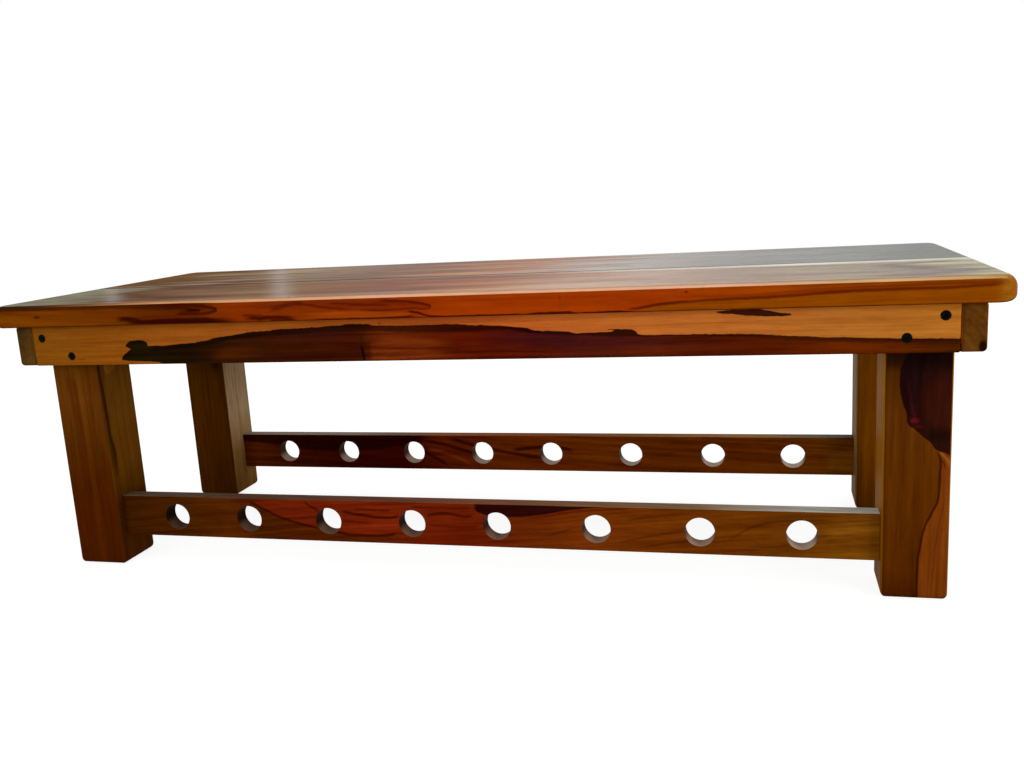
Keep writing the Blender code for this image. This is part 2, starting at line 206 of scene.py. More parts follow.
class Net(Tree):
    """Builds the node tree of a material on a Principled shader."""

    def __init__(self, name):
        self.material = bpy.data.materials.new(name)
        super().__init__(self.material)
        self.shader = self.nodes["Principled BSDF"]
        place = self.node("ShaderNodeTexCoord")
        self.x, self.y, self.z = self.split(place.outputs["Object"])
        self.nx, self.ny, self.nz = self.split(place.outputs["Normal"])

    def value(self, made, output=0):
        return Value(self, made.outputs[output])

    def math(self, operation, *values):
        return self.value(self.node("ShaderNodeMath", *values, operation=operation))

    def split(self, vector):
        made = self.node("ShaderNodeSeparateXYZ", vector)
        return tuple(Value(self, socket) for socket in made.outputs)

    def join(self, values):
        return self.value(self.node("ShaderNodeCombineXYZ", *values))

    def noise(self, values, detail=2.0, roughness=0.5):
        """Noise about 0, from -0.5 to 0.5."""
        made = self.node("ShaderNodeTexNoise")
        self.feed(made, Vector=self.join(values), Scale=1.0, Detail=detail, Roughness=roughness)
        return self.value(made, "Fac") - 0.5

    def smooth(self, value, low, high):
        """0 below low, 1 above high, with a soft step between them."""
        return self.value(
            self.node("ShaderNodeMapRange", value, low, high, interpolation_type="SMOOTHSTEP"),
        )

    def fade(self, value, low, high):
        """1 below low, 0 above high, with a soft step between them."""
        return 1.0 - self.smooth(value, low, high)

    def share(self, value, start, end):
        """0 at start, 1 at end, and straight between them."""
        return self.value(self.node("ShaderNodeMapRange", value, start, end, clamp=True))

    def line(self, along, points):
        """A number that follows points (along, number). Spans of a few points each keep it sharp."""
        total = points[0][1]
        for first in range(0, len(points) - 1, SPAN_POINTS):
            span = points[first : first + SPAN_POINTS + 1]
            start, end = span[0][0], span[-1][0]
            low = min(height for _, height in span)
            high = max(max(height for _, height in span), low + 1e-6)
            made = self.node("ShaderNodeFloatCurve")
            self.feed(made, Value=self.share(along, start, end))
            curve = made.mapping.curves[0]
            for place, height in span[1:-1]:
                curve.points.new((place - start) / (end - start), (height - low) / (high - low))
            curve.points[0].location = (0.0, (span[0][1] - low) / (high - low))
            curve.points[-1].location = (1.0, (span[-1][1] - low) / (high - low))
            for point in curve.points:
                point.handle_type = "AUTO_CLAMPED"
            made.mapping.update()
            climb = self.value(made) * (high - low) + (low - span[0][1])
            total = climb + total
        return total

    def tones(self, value, stops):
        """A colour that follows stops (place in millimetres, tone)."""
        start, end = stops[0][0] * MM, stops[-1][0] * MM
        made = self.node("ShaderNodeValToRGB")
        self.put(made.inputs[0], self.share(value, start, end))
        elements = made.color_ramp.elements
        while len(elements) > 1:
            elements.remove(elements[-1])
        for number, (place, colour) in enumerate(stops):
            at = (place * MM - start) / (end - start)
            element = elements[0] if number == 0 else elements.new(at)
            element.position = at
            element.color = (*tone(*colour), 1.0)
        return self.value(made)

    def mix(self, factor, first, second):
        """The first colour where the factor is 0, the second where it is 1."""
        made = self.node("ShaderNodeMix", data_type="RGBA")
        for place, value in zip(MIX_INPUTS, (factor, first, second)):
            self.put(made.inputs[place], value)
        return self.value(made, MIX_OUTPUT)

    def times(self, first, second):
        """Two colours multiplied."""
        return self.value(self.node("ShaderNodeVectorMath", first, second, operation="MULTIPLY"))

    def finish(self, colour, roughness, ior, height, strength, depth):
        """Sets the shader, with a height that is felt in its surface."""
        self.feed(self.shader, Base_Color=colour, Roughness=roughness, IOR=ior)
        bump = self.feed(self.node("ShaderNodeBump"), Strength=strength, Distance=depth, Height=height)
        self.feed(self.shader, Normal=bump.outputs[0])
        return self.material


class Wood(Net):
    """Solid wood, with growth rings about a pith line, streaks, fibres and pores along the grain.

    pith is where the middle of the trunk lies across the grain, lean is how far it wanders in each metre,
    and ring is the width of a growth ring. The two directions across are the next two of X, Y, Z in turn.
    """

    def __init__(self, name, grain, seed, pith, lean=(0.0, 0.0), ring=0.006, drift=0.010):
        super().__init__(name)
        turn = "XYZ".index(grain)
        axes = (self.x, self.y, self.z)
        self.along, across, depth = (axes[(turn + step) % 3] for step in range(3))
        far = self.along + seed * 3.7

        def pattern(run, spread, **settings):
            """Noise with a number of changes in each metre along the grain and across it."""
            return self.noise((far * run, across * spread, depth * spread), **settings)

        sway = pattern(2.3, 7.0) * (2 * drift)
        bend = self.noise((far * 2.9 + 11.0, across * 9.0, depth * 9.0)) * (2 * drift)
        near_across = across - self.along * lean[0] + sway
        near_depth = depth - self.along * lean[1] + bend
        off_across = near_across - pith[0]
        off_depth = near_depth - pith[1]
        radius = self.math("SQRT", off_across * off_across + off_depth * off_depth)
        rings = self.noise((radius / ring, far * 0.9, seed), detail=3.0, roughness=0.62)
        streaked = (far * 5.0, near_across * 260.0, near_depth * 260.0)
        self.streaks = self.noise(streaked, detail=3.0, roughness=0.6)
        self.fibres = pattern(14.0, 1100.0, roughness=0.6)
        self.pores = self.smooth(pattern(60.0, 2100.0, detail=1.0), 0.17, 0.30)
        self.clouds = pattern(4.0, 22.0)
        self.grit = pattern(45.0, 130.0, detail=3.0, roughness=0.6)
        flecks = pattern(24.0, 170.0, detail=3.0, roughness=0.68)
        self.teeth = pattern(190.0, 90.0, detail=2.0, roughness=0.6)
        self.bands = pattern(2.2, 44.0) + pattern(7.0, 27.0)
        figure = rings * 1.6 + self.streaks * 1.2 + flecks * 1.1
        self.figure = figure + self.clouds * 0.5 + self.fibres * 0.3

    def follow(self, points):
        """A number that follows points (place along the grain in millimetres, number)."""
        return self.line(self.along, [(place * MM, number) for place, number in points])

    def shade(self, colour, amount):
        """Deepens a colour where the amount is below 0 and lifts it above, blue and green more than red."""
        rates = ((1.0, 0.10), (1.3, 0.06), (1.5, 0.03))
        gains = [self.math("MAXIMUM", amount * rate + 1.0, least) for rate, least in rates]
        return self.times(colour, self.join(gains))

    def varnish(self, colour, roughness, ior=1.03):
        """Sets the shader: the wood's colour under a varnish, with pores and fibres felt in its surface."""
        colour = self.times(colour, self.join([1.0 - self.pores * part for part in (0.45, 0.55, 0.60)]))
        roughness = roughness + self.streaks * 0.12 + self.clouds * 0.12
        height = self.fibres * 0.35 + self.streaks * 0.25 - self.pores * 0.5 + self.clouds * 0.35
        return self.finish(colour, roughness, ior, height, strength=0.35, depth=0.00025)


class Face:
    """The figure of one face: u runs along it, h across it, and outlines are points (u, h) in millimetres.

    ground gives the tones along the face, and tongues is how far they reach into each other along the grain.
    """

    def __init__(self, wood, u, h, ground, contrast, ragged=1.0, broad=0.0, tongues=0.0):
        self.wood = wood
        self.u = u
        self.h = h + (wood.grit * 0.0018 + wood.streaks * 0.0012 + wood.teeth * 0.0014) * ragged
        self.gain = (wood.figure + wood.bands * broad) * contrast
        self.colour = wood.tones(u + wood.bands * tongues, ground)

    def outline(self, points):
        return self.wood.line(self.u, [(u * MM, h * MM) for u, h in points])

    def paint(self, mask, colour, amount):
        self.colour = self.wood.mix(mask * amount, self.colour, tone(*colour))

    def limited(self, mask, points, run):
        """A mask that fades out over a run of millimetres at each end of its points that has a run."""
        start, end = points[0][0] * MM, points[-1][0] * MM
        limit = None
        if run[0]:
            limit = self.wood.smooth(self.u, start, start + run[0] * MM)
        if run[1]:
            last = self.wood.fade(self.u, end - run[1] * MM, end)
            limit = last if limit is None else limit * last
        return mask if limit is None else mask * limit

    def within(self, upper, lower, soft=0.6, run=(0, 0)):
        """1 between two outlines. Either may be None, which leaves that side open."""
        mask = None
        for points, sign in ((upper, 1.0), (lower, -1.0)):
            if points is None:
                continue
            inside = (self.outline(points) - self.h) * sign
            side = self.wood.smooth(inside, -soft * MM, soft * MM)
            mask = side if mask is None else mask * side
        return self.limited(mask, upper or lower, run)

    def area(self, upper, lower, colour, amount=1.0, soft=0.6, run=(0, 0)):
        """Paints between two outlines."""
        self.paint(self.within(upper, lower, soft, run), colour, amount)

    def mark(self, points, width, colour, amount=1.0, run=(0, 0)):
        """Paints a line of the given width along an outline."""
        off = abs(self.h - self.outline(points))
        mask = self.wood.fade(off, width * 0.2 * MM, width * 0.8 * MM)
        self.paint(self.limited(mask, points, run), colour, amount)

    def tip(self, upper, lower, width, colour, amount):
        """Two lines that meet in a point at their ends, as growth rings do on a board cut along them."""
        for points in (upper, lower):
            self.mark(points, width, colour, amount, run=(26, 0.8))

    def knot(self, u, h, long, high, colour, amount=1.0):
        """Paints a soft oval spot."""
        away_u = (self.u - u * MM) / (long * MM)
        away_h = (self.h - h * MM) / (high * MM)
        reach = self.wood.math("SQRT", away_u * away_u + away_h * away_h)
        self.paint(self.wood.fade(reach, 0.5, 1.3), colour, amount)

    def done(self):
        return self.wood.shade(self.colour, self.gain)


# Looks of the seat


def seam_shade(wood, colour, seam):
    """Paints shade along a board's edge at the seam, where the gap between the boards lies in shadow, more
    at some places along it than at others.
    """
    near = wood.fade(abs(wood.y - seam), 0.0030, 0.0050)
    strength = wood.follow(
        [
            (-517, 0.7), (-446, 0.95), (-62, 0.95), (-40, 0.8), (33, 0.9), (158, 0.95), (300, 0.9),
            (400, 0.6), (517, 0.4),
        ],
    )
    return wood.mix(near * strength, colour, tone(34, 20, 14))


def rubbed_stripe(wood, u, slope, width):
    """A soft stripe across the boards where they are glossier. It starts at u at the seam and leans left."""
    off = abs(wood.x + (wood.y - SEAM_FRONT) * slope + wood.clouds * 0.008 - u * MM)
    return wood.fade(off, 0.0, width * MM)


def front_seat_top(wood):
    top = Face(
        wood, wood.x, wood.y,
        [
            (-517, (153, 148, 124)), (-440, (149, 140, 115)), (-376, (98, 52, 14)), (-200, (152, 112, 76)),
            (-56, (134, 58, 10)), (68, (178, 103, 32)), (192, (200, 152, 118)), (308, (152, 110, 76)),
            (400, (162, 133, 94)), (460, (98, 50, 4)), (521, (188, 171, 116)),
        ],
        0.55, ragged=3.0, broad=1.4, tongues=0.2,
    )
    top.area(None, [(-300, -28), (60, -34), (120, -34)], (196, 160, 128), 0.55, soft=4, run=(120, 80))
    top.area(
        None, [(20, -31), (160, -38), (300, -48), (521, -52)], (244, 234, 204), 0.8, soft=5, run=(180, 0),
    )
    # Painted highlight on the top along its front edge, where the light of the arris reaches onto it, fading
    # in from the left end
    top.area(
        [(-517, -190), (-300, -186), (0, -174), (200, -180), (300, -188), (521, -192)], None,
        (214, 158, 120), 0.5, soft=5, run=(220, 0),
    )
    return seam_shade(wood, top.done(), SEAM_FRONT)


def front_seat_edge(wood):
    """The front and the ends of the board, with the dark streaks that end in points."""
    edge = Face(
        wood, wood.x, wood.z,
        [
            (-517, (116, 58, 0)), (-350, (106, 46, 0)), (-290, (94, 34, 0)), (-255, (104, 39, 0)),
            (-215, (132, 46, 0)), (-130, (128, 46, 0)), (-20, (132, 42, 0)), (20, (155, 54, 0)),
            (200, (152, 53, 0)), (310, (146, 58, 0)), (521, (132, 66, 0)),
        ],
        0.6, ragged=0.8,
    )
    # Painted shade along the top of the front face, under the arris, at the left end
    edge.area(
        None, [(-517, 305.8), (-373, 306.2), (-283, 303.8), (-230, 306)], (62, 20, 0), 0.9, soft=1.8,
        run=(0, 50),
    )
    edge.area(
        [(-330, 308), (-277, 307), (-248, 305), (-236, 302)], [(-330, 297), (-266, 298), (-236, 302)],
        (86, 34, 0), 0.65, soft=1.2, run=(50, 4),
    )
    edge.tip(
        [(-316, 307.5), (-293, 307.5), (-260, 306.7), (-241, 304.4), (-234, 301.8)],
        [(-288, 298.8), (-256, 298.2), (-239, 300.5), (-234, 301.8)], 3.4, (60, 10, 0), 0.85,
    )
    edge.tip(
        [(-310, 305.2), (-277, 304.7), (-265, 303.7), (-254, 301.9)],
        [(-290, 300.4), (-266, 300.8), (-254, 301.9)], 2.8, (60, 10, 0), 0.8,
    )
    edge.knot(-262, 302.4, 11, 1.3, (40, 4, 0), 0.85)
    edge.knot(-274, 298.5, 8, 1.3, (56, 10, 0), 0.8)
    edge.mark(
        [(-344, 295), (-315, 296.1), (-286, 296.6), (-268, 298)], 2.4, (84, 22, 0), 0.65, run=(12, 10),
    )
    edge.mark(
        [
            (-358, 294.2), (-347, 294.8), (-327, 292), (-318, 291.4), (-302, 292), (-252, 291.8),
            (-240, 290.8), (-205, 290),
        ],
        5.2, (46, 4, 0), 0.92, run=(12, 40),
    )
    edge.mark([(-346, 290.8), (-205, 289)], 2.8, (46, 3, 0), 0.85, run=(12, 30))
    edge.mark(
        [(-208, 294.6), (-199, 295.4), (-190, 294.8), (-180, 295.6)], 2.2, (84, 20, 0), 0.75, run=(6, 8),
    )
    edge.mark(
        [(-206, 291.9), (-195, 292.5), (-186, 291.7), (-175, 292.4), (-142, 290)], 4.0, (58, 6, 0), 0.9,
        run=(12, 16),
    )
    edge.mark([(-178, 289.4), (-158, 289.6), (-144, 289.7)], 2.2, (58, 6, 0), 0.8, run=(5, 8))
    edge.area(
        [(-150, 309.5), (-60, 309), (-28, 305), (-14, 302.8), (-1, 299.6)],
        [(-150, 304), (-88, 298), (-10, 296.8), (-1, 299.2)], (108, 32, 0), 0.5, soft=1.4, run=(30, 2),
    )
    edge.mark(
        [(-178, 299.8), (-163, 302.6), (-156, 304.5), (-134, 307.6)], 4.8, (84, 22, 0), 0.75, run=(10, 6),
    )
    edge.mark([(-149, 306), (-131, 303.8), (-116, 301.3), (-84, 298)], 2.4, (84, 18, 0), 0.7, run=(6, 14))
    edge.mark([(-200, 302), (-180, 303), (-160, 303.6)], 2.0, (96, 26, 0), 0.5, run=(14, 10))
    edge.mark(
        [(-115, 305.4), (-92, 304.4), (-72, 302.5), (-57, 302), (-41, 300.2)], 2.2, (84, 18, 0), 0.65,
        run=(12, 10),
    )
    edge.mark([(-60, 306.6), (-28, 304.7), (-14, 302.6), (-1, 299.6)], 2.4, (76, 14, 0), 0.8, run=(14, 2))
    edge.mark(
        [(-82, 297.2), (-58, 296.6), (-22, 297.4), (-10, 296.6), (-1, 299.2)], 1.9, (84, 18, 0), 0.7,
        run=(14, 2),
    )
    edge.area(
        [(-144, 296.5), (-82, 296.4), (-58, 294.9), (-19, 293.3)],
        [(-144, 291.5), (-82, 290.4), (-19, 291)], (160, 70, 8), 0.5, soft=1.0, run=(24, 10),
    )
    edge.mark([(-128, 288.6), (-50, 288.8), (-18, 290)], 2.0, (58, 2, 0), 0.85, run=(12, 8))
    edge.mark(
        [(-28, 295.2), (-16, 293.2), (-9, 291), (-1, 289.6), (13, 288.9), (67, 288.8), (97, 289.4)], 2.1,
        (54, 2, 0), 0.9, run=(6, 20),
    )
    edge.area(
        [(84, 288.3), (110, 290.7), (129, 291), (144, 289.5), (173, 290), (202, 288.3)], None, (54, 3, 0),
        0.93, run=(14, 14),
    )
    climb = [
        (186, 288.4), (193, 290.4), (226, 295.1), (255, 297), (334, 299.4), (392, 302), (473, 302.6),
        (521, 305),
    ]
    edge.area(climb, None, (130, 64, 0), 0.8, soft=0.8, run=(30, 0))
    edge.mark(climb, 2.6, (84, 20, 0), 0.8, run=(16, 0))
    edge.mark([(186, 290.6), (229, 296.4), (250, 298)], 1.4, (84, 24, 0), 0.7, run=(8, 14))
    edge.mark(
        [(240, 299.6), (300, 300.6), (340, 302.6), (400, 304.8), (521, 307)], 3.2, (106, 34, 0), 0.55,
        run=(50, 0),
    )
    edge.knot(-454, 299.2, 4.5, 1.6, (60, 14, 0), 0.8)
    edge.knot(243, 305.4, 1.8, 1.3, (76, 12, 0), 0.7)
    edge.knot(126, 303.6, 1.0, 2.4, (110, 28, 0), 0.5)
    # Lighter at the right end, and painted shade under the board and on its lower rounded edge
    edge.paint(wood.smooth(wood.x, 0.498, 0.514), (150, 90, 12), 0.85)
    edge.paint(wood.fade(wood.nz, -0.85, -0.15), (48, 18, 0), 0.8)
    return edge.done()


def front_seat_arris_highlight(wood):
    """The rounding between the front and the top, painted with the highlight that it catches, and darker
    with painted shade at the left end.
    """
    face = Face(
        wood, wood.x, wood.z,
        [
            (-517, (46, 28, 10)), (-460, (56, 36, 16)), (-430, (80, 54, 30)), (-400, (116, 84, 56)),
            (-350, (166, 122, 82)), (-310, (204, 150, 98)), (-250, (212, 160, 112)),
            (-100, (226, 172, 134)), (250, (226, 178, 146)), (400, (212, 176, 132)), (490, (196, 160, 106)),
            (521, (168, 118, 58)),
        ],
        0.35,
    )
    return face.done()


def front_seat_look():
    wood = Wood("front_seat_wood", "X", 1.0, pith=(-0.10, 0.20), lean=(0.02, 0.004), ring=0.0065)
    colour = wood.mix(wood.smooth(wood.nz, 0.90, 0.97), front_seat_edge(wood), front_seat_top(wood))
    # Where the painted highlight of the arris goes: the rounding that faces up and forward, away from the
    # plan corners, starting higher up it at the left end
    start = wood.follow([(-517, 0.50), (-300, 0.48), (-200, 0.26), (521, 0.26)])
    upward = wood.smooth(wood.nz - start, -0.06, 0.06) * wood.fade(wood.nz, 0.88, 0.97)
    forward = wood.smooth(0.0 - wood.ny, 0.15, 0.30) * wood.fade(abs(wood.nx), 0.40, 0.75)
    colour = wood.mix(upward * forward, colour, front_seat_arris_highlight(wood))
    sheen = wood.follow([(-517, 0.60), (-250, 0.52), (0, 0.42), (200, 0.26), (517, 0.28)])
    rubbed = rubbed_stripe(wood, -253, 0.52, 30) + rubbed_stripe(wood, -488, 0.74, 24)
    return wood.varnish(colour, sheen - rubbed * 0.26, ior=1.05)


def rear_seat_look():
    wood = Wood("rear_seat_wood", "X", 2.0, pith=(0.13, 0.24), lean=(-0.03, 0.01), ring=0.006)
    top = Face(
        wood, wood.x, wood.y,
        [
            (-517, (124, 82, 38)), (-450, (122, 80, 35)), (-306, (180, 153, 127)), (-132, (141, 100, 79)),
            (22, (188, 116, 65)), (170, (186, 168, 155)), (308, (135, 124, 115)), (400, (134, 129, 119)),
            (475, (102, 94, 80)), (521, (98, 90, 74)),
        ],
        0.65, ragged=3.0, broad=1.6, tongues=0.25,
    )
    top.area(
        [(-517, 34), (-300, 22), (-120, 14)], [(-517, 26), (-300, 15), (-120, 10)], (84, 56, 40), 0.6,
        soft=2, run=(60, 60),
    )
    tops = seam_shade(wood, top.done(), SEAM_REAR)
    edge = Face(
        wood, wood.x, wood.z,
        [(-517, (128, 72, 16)), (-300, (150, 92, 34)), (0, (150, 74, 16)), (521, (168, 112, 48))], 0.6,
    )
    colour = wood.mix(wood.smooth(wood.nz, 0.86, 0.97), edge.done(), tops)
    sheen = wood.follow([(-517, 0.64), (-250, 0.55), (0, 0.42), (200, 0.26), (517, 0.28)])
    return wood.varnish(colour, sheen - rubbed_stripe(wood, -253, 0.52, 30) * 0.26, ior=1.05)


# Looks of the aprons


def front_apron_sap(wood):
    """The figure of the pale sapwood, which leans a little as it goes into the board."""
    sap = Face(
        wood, wood.x, wood.z + (wood.y + FRAME_WIDTH / 2) * 0.12,
        [
            (-478, (128, 75, 13)), (-380, (140, 77, 14)), (-280, (156, 85, 24)), (-100, (158, 79, 23)),
            (0, (165, 76, 26)), (80, (184, 90, 34)), (200, (186, 102, 40)), (360, (173, 101, 38)),
            (478, (168, 101, 30)),
        ],
        0.45, ragged=1.1,
    )
    sap.area([(300, 262), (478, 270)], None, (182, 112, 42), 0.6, soft=4, run=(100, 0))
    sap.mark([(-478, 262), (-420, 263.5), (-380, 262), (-200, 275)], 1.2, (104, 50, 8), 0.35, run=(30, 40))
    sap.mark([(200, 276), (300, 273), (400, 268), (478, 270)], 1.0, (150, 84, 26), 0.5, run=(60, 30))
    sap.knot(-64, 281.6, 0.8, 2.0, (70, 26, 6), 0.7)
    sap.knot(-418, 249, 6, 0.8, (108, 50, 6), 0.6)
    return sap


def front_apron_heart(wood):
    """The figure of the dark heartwood."""
    heart = Face(
        wood, wood.x, wood.z,
        [
            (-370, (24, 15, 2)), (-290, (27, 13, 2)), (-235, (46, 18, 3)), (-150, (58, 18, 3)),
            (-85, (66, 20, 4)), (-60, (100, 36, 6)), (0, (86, 22, 2)), (50, (84, 16, 1)),
            (120, (64, 17, 11)), (210, (82, 26, 8)), (300, (80, 24, 2)), (400, (94, 34, 0)),
            (478, (76, 34, 0)),
        ],
        0.95, broad=1.0,
    )
    heart.area(
        [(-265, 249.8), (-252, 256.1), (-228, 259.2), (-205, 258.4), (-190, 255)],
        [(-265, 247), (-252, 246), (-224, 247), (-205, 249), (-190, 253)], (78, 30, 0), 0.5, soft=3.5,
        run=(24, 30),
    )
    heart.area(
        [(-190, 274), (-140, 275), (-90, 276)], [(-190, 268), (-140, 267), (-90, 268)], (44, 15, 20), 0.35,
        soft=2.5, run=(26, 20),
    )
    heart.area(
        [(20, 274), (100, 269), (200, 262), (290, 258)], [(20, 262), (60, 256), (200, 254), (290, 254)],
        (50, 13, 20), 0.42, soft=3, run=(50, 80),
    )
    heart.area([(0, 258), (80, 256), (150, 250)], None, (92, 26, 2), 0.4, soft=3, run=(30, 40))
    heart.area(
        [(-78, 262), (-40, 264), (20, 262)], [(-78, 244), (20, 247)], (124, 52, 14), 0.55, soft=2.4,
        run=(6, 40),
    )
    heart.mark([(-78, 257), (-30, 255), (20, 257)], 2.0, (86, 26, 2), 0.7, run=(4, 20))
    below = [
        (-334, 257), (-299, 259), (-257, 263.4), (-209, 269.6), (-78, 274), (-42, 272), (0, 271), (31, 271),
        (60, 272), (94, 268), (126, 265.8), (182, 263), (254, 262), (308, 260), (360, 256),
    ]
    heart.area(None, below, (18, 6, 2), 0.75, soft=1.5, run=(10, 80))
    heart.area(None, [(280, 259.5), (394, 253.6), (478, 251.8)], (42, 15, 1), 0.7, soft=1.5, run=(60, 0))
    return heart


def heart_shape(wood, sap):
    """Where the heartwood shows: its main part alone, and that with a lump and a spike above it."""
    bound = [
        (-368, 248.7), (-366, 251.5), (-361, 255.2), (-352, 260.0), (-334, 262.6), (-318, 262.9),
        (-269, 266.6), (-245, 271.1), (-227, 272.9), (-209, 275.7), (-186, 276.3), (-174, 277.7),
        (-152, 278.1), (-78, 281), (-72, 279.7), (-15, 278.4), (19, 278.8), (31, 277.6), (52, 276.8),
        (72, 275.1), (89, 273.1), (94, 271.5), (101, 270.4), (126, 269.1), (141, 267.2), (169, 267.4),
        (176, 269.5), (186, 269.6), (194.5, 267.3), (196, 265.5), (199, 264.6), (217, 264), (254, 263.8),
        (308, 262.1), (343, 259.8), (394, 257.6), (432, 256.3), (478, 255.4),
    ]
    under = [(-368, 248.1), (-357, 247), (-339, 246.5), (-320, 245), (-312, 241.5), (478, 241)]
    whole = sap.within(bound, under, soft=0.35, run=(2, 0))
    lump_top = [(-361, 263.5), (-358, 266), (-354, 268.4), (-344, 269.4), (-335, 267.4), (-332, 262)]
    lump_low = [(-361, 262.5), (-358, 261.6), (-353, 259), (-344, 258), (-335, 258), (-332, 260)]
    lump = sap.within(lump_top, lump_low, soft=0.35, run=(1, 2))
    spike = sap.within(
        [(167, 270.2), (173, 270.1), (180, 270)], [(167, 269.5), (173, 269), (180, 268)], soft=0.3,
        run=(1, 1),
    )
    return whole, wood.math("MAXIMUM", whole, wood.math("MAXIMUM", lump, spike))


def purple_dash(wood, heart):
    """The shape and the colour of a short purple streak in the sapwood."""
    dash = heart.within(
        [(268, 284.4), (283, 285.8), (304, 286), (312, 285), (324, 282.4), (336, 280.6)],
        [(268, 283.8), (273, 282.6), (286, 281.6), (300, 279.8), (326, 278.4), (336, 279)], soft=0.35,
        run=(2, 2),
    )
    darker = wood.smooth(heart.h, 0.2836, 0.2806)
    purple = wood.mix(darker, tone(46, 8, 10), tone(30, 7, 4))
    return dash, wood.shade(purple, wood.figure * 0.6)


def heart_crack(wood):
    """A crack that runs up the heartwood, from points (height, place along) and (height, half its width)."""
    path = [
        (243.4, -83.2), (251.3, -84.3), (260.6, -85.3), (263.7, -83.2), (266.8, -85.2), (270.8, -82.2),
        (275, -83.8),
    ]
    widths = [(243.4, 0.7), (249, 1.5), (256, 1.4), (260.2, 0.3), (275, 0.3)]
    middle = wood.line(wood.z, [(h * MM, u * MM) for h, u in path])
    wide = wood.line(wood.z, [(h * MM, half * MM) for h, half in widths])
    split = wood.fade(abs(wood.x - middle) - wide, -0.0004, 0.0005) * wood.fade(wood.z, 0.2735, 0.2750)
    return split * wood.math("MAXIMUM", wood.fade(wood.z, 0.2590, 0.2610), 0.85)


def front_apron_look():
    wood = Wood(
        "front_apron_wood", "X", 3.0, pith=(-0.20, 0.18), lean=(0.0, 0.010), ring=0.005, drift=0.006,
    )
    sap = front_apron_sap(wood)
    heart = front_apron_heart(wood)
    whole, shape = heart_shape(wood, sap)
    colour = wood.mix(shape, sap.done(), heart.done())
    fronted = wood.fade(wood.y, -0.181, -0.176)
    dash, purple = purple_dash(wood, heart)
    colour = wood.mix(dash * fronted * 0.96, colour, purple)
    colour = wood.mix(heart_crack(wood) * fronted * 0.9, colour, tone(20, 4, 3))
    return wood.varnish(colour, 0.42 - whole * 0.04)


def rear_apron_look():
    wood = Wood("rear_apron_wood", "X", 4.0, pith=(0.25, 0.20), ring=0.0055)
    ground = [(-480, (150, 82, 26)), (-60, (168, 92, 34)), (200, (150, 78, 24)), (480, (160, 90, 30))]
    face = Face(wood, wood.x, wood.z, ground, 0.45)
    heart = [(-480, 252), (-300, 256), (-120, 251), (60, 258), (260, 262), (480, 257)]
    face.area(heart, None, (78, 26, 4), 0.85)
    return wood.varnish(face.done(), 0.42)


def end_apron_look(name, seed, pith, end_tones, spot=None):
    """An end apron, with long grain on its outer face and end grain where it shows at the front and rear."""
    wood = Wood(name, "Y", seed, pith=pith, ring=0.0040)
    side = Face(
        wood, wood.y, wood.z, [(-183, (132, 68, 16)), (0, (146, 78, 22)), (183, (128, 66, 16))], 0.5,
    )
    side.area([(-183, 250), (-60, 256), (60, 252), (183, 258)], None, (70, 26, 5), 0.8, soft=0.8)
    ending = Face(wood, wood.z, wood.x, end_tones, 0.6)
    ending.area(None, [(242, -488), (288, -486)], (84, 56, 22), 0.5, soft=4)
    if spot:
        ending.knot(*spot)
    endwise = wood.smooth(abs(wood.ny), 0.55, 0.8)
    return wood.varnish(wood.mix(endwise, side.done(), ending.done()), 0.45)


def left_end_apron_look():
    end_tones = [(242, (84, 56, 20)), (262, (72, 46, 14)), (288, (62, 44, 18))]
    return end_apron_look("left_end_apron_wood", 13.0, (0.26, -0.80), end_tones)


def right_end_apron_look():
    end_tones = [(242, (106, 55, 4)), (262, (94, 48, 0)), (288, (96, 49, 0))]
    dark_knot = (248, 496, 6.5, 4.0, (24, 6, 0), 0.95)
    return end_apron_look("right_end_apron_wood", 14.0, (0.21, 0.43), end_tones, dark_knot)


# Looks of the legs


def leg_look(name, seed, pith, front, side):
    """A leg whose front face and inner side face have tones of their own, up the leg."""
    wood = Wood(name, "Z", seed, pith=pith, lean=(0.01, 0.02), ring=0.0055, drift=0.006)
    return wood, Face(wood, wood.z, wood.x, front, 0.6), Face(wood, wood.z, wood.y, side, 0.6)


def joined_leg(wood, front, side, facing):
    """Puts the side's look on the faces where facing is near 1 and the front's look on the others."""
    sideways = wood.smooth(facing, 0.55, 0.8)
    return wood.varnish(wood.mix(sideways, front.done(), side.done()), 0.45)


def front_left_leg_look():
    wood, front, side = leg_look(
        "front_left_leg_wood", 5.0, (-0.40, -0.22),
        [
            (5, (70, 26, 1)), (60, (74, 28, 0)), (110, (77, 33, 0)), (150, (85, 43, 4)), (200, (98, 52, 8)),
            (240, (86, 47, 4)),
        ],
        [
            (5, (68, 32, 2)), (70, (70, 34, 2)), (120, (102, 60, 8)), (170, (108, 66, 12)),
            (215, (102, 61, 12)), (240, (94, 58, 12)),
        ],
    )
    front.area(
        [(60, -450), (140, -446), (240, -452)], [(60, -462), (140, -458), (240, -464)], (66, 24, 0), 0.45,
        soft=3, run=(20, 20),
    )
    curve = [(96, -152), (129, -151), (156, -155), (192, -156), (243, -159)]
    side.area(curve, [(u, h - 9) for u, h in curve], (50, 24, 0), 0.5, soft=3, run=(30, 0))
    side.mark(curve, 5.0, (30, 12, 0), 0.7, run=(40, 0))
    side.area(
        [(224, -144), (233, -129), (244, -127)], [(224, -146), (238, -151), (244, -152)], (128, 78, 24),
        0.6, soft=0.8, run=(3, 0),
    )
    return joined_leg(wood, front, side, wood.nx)


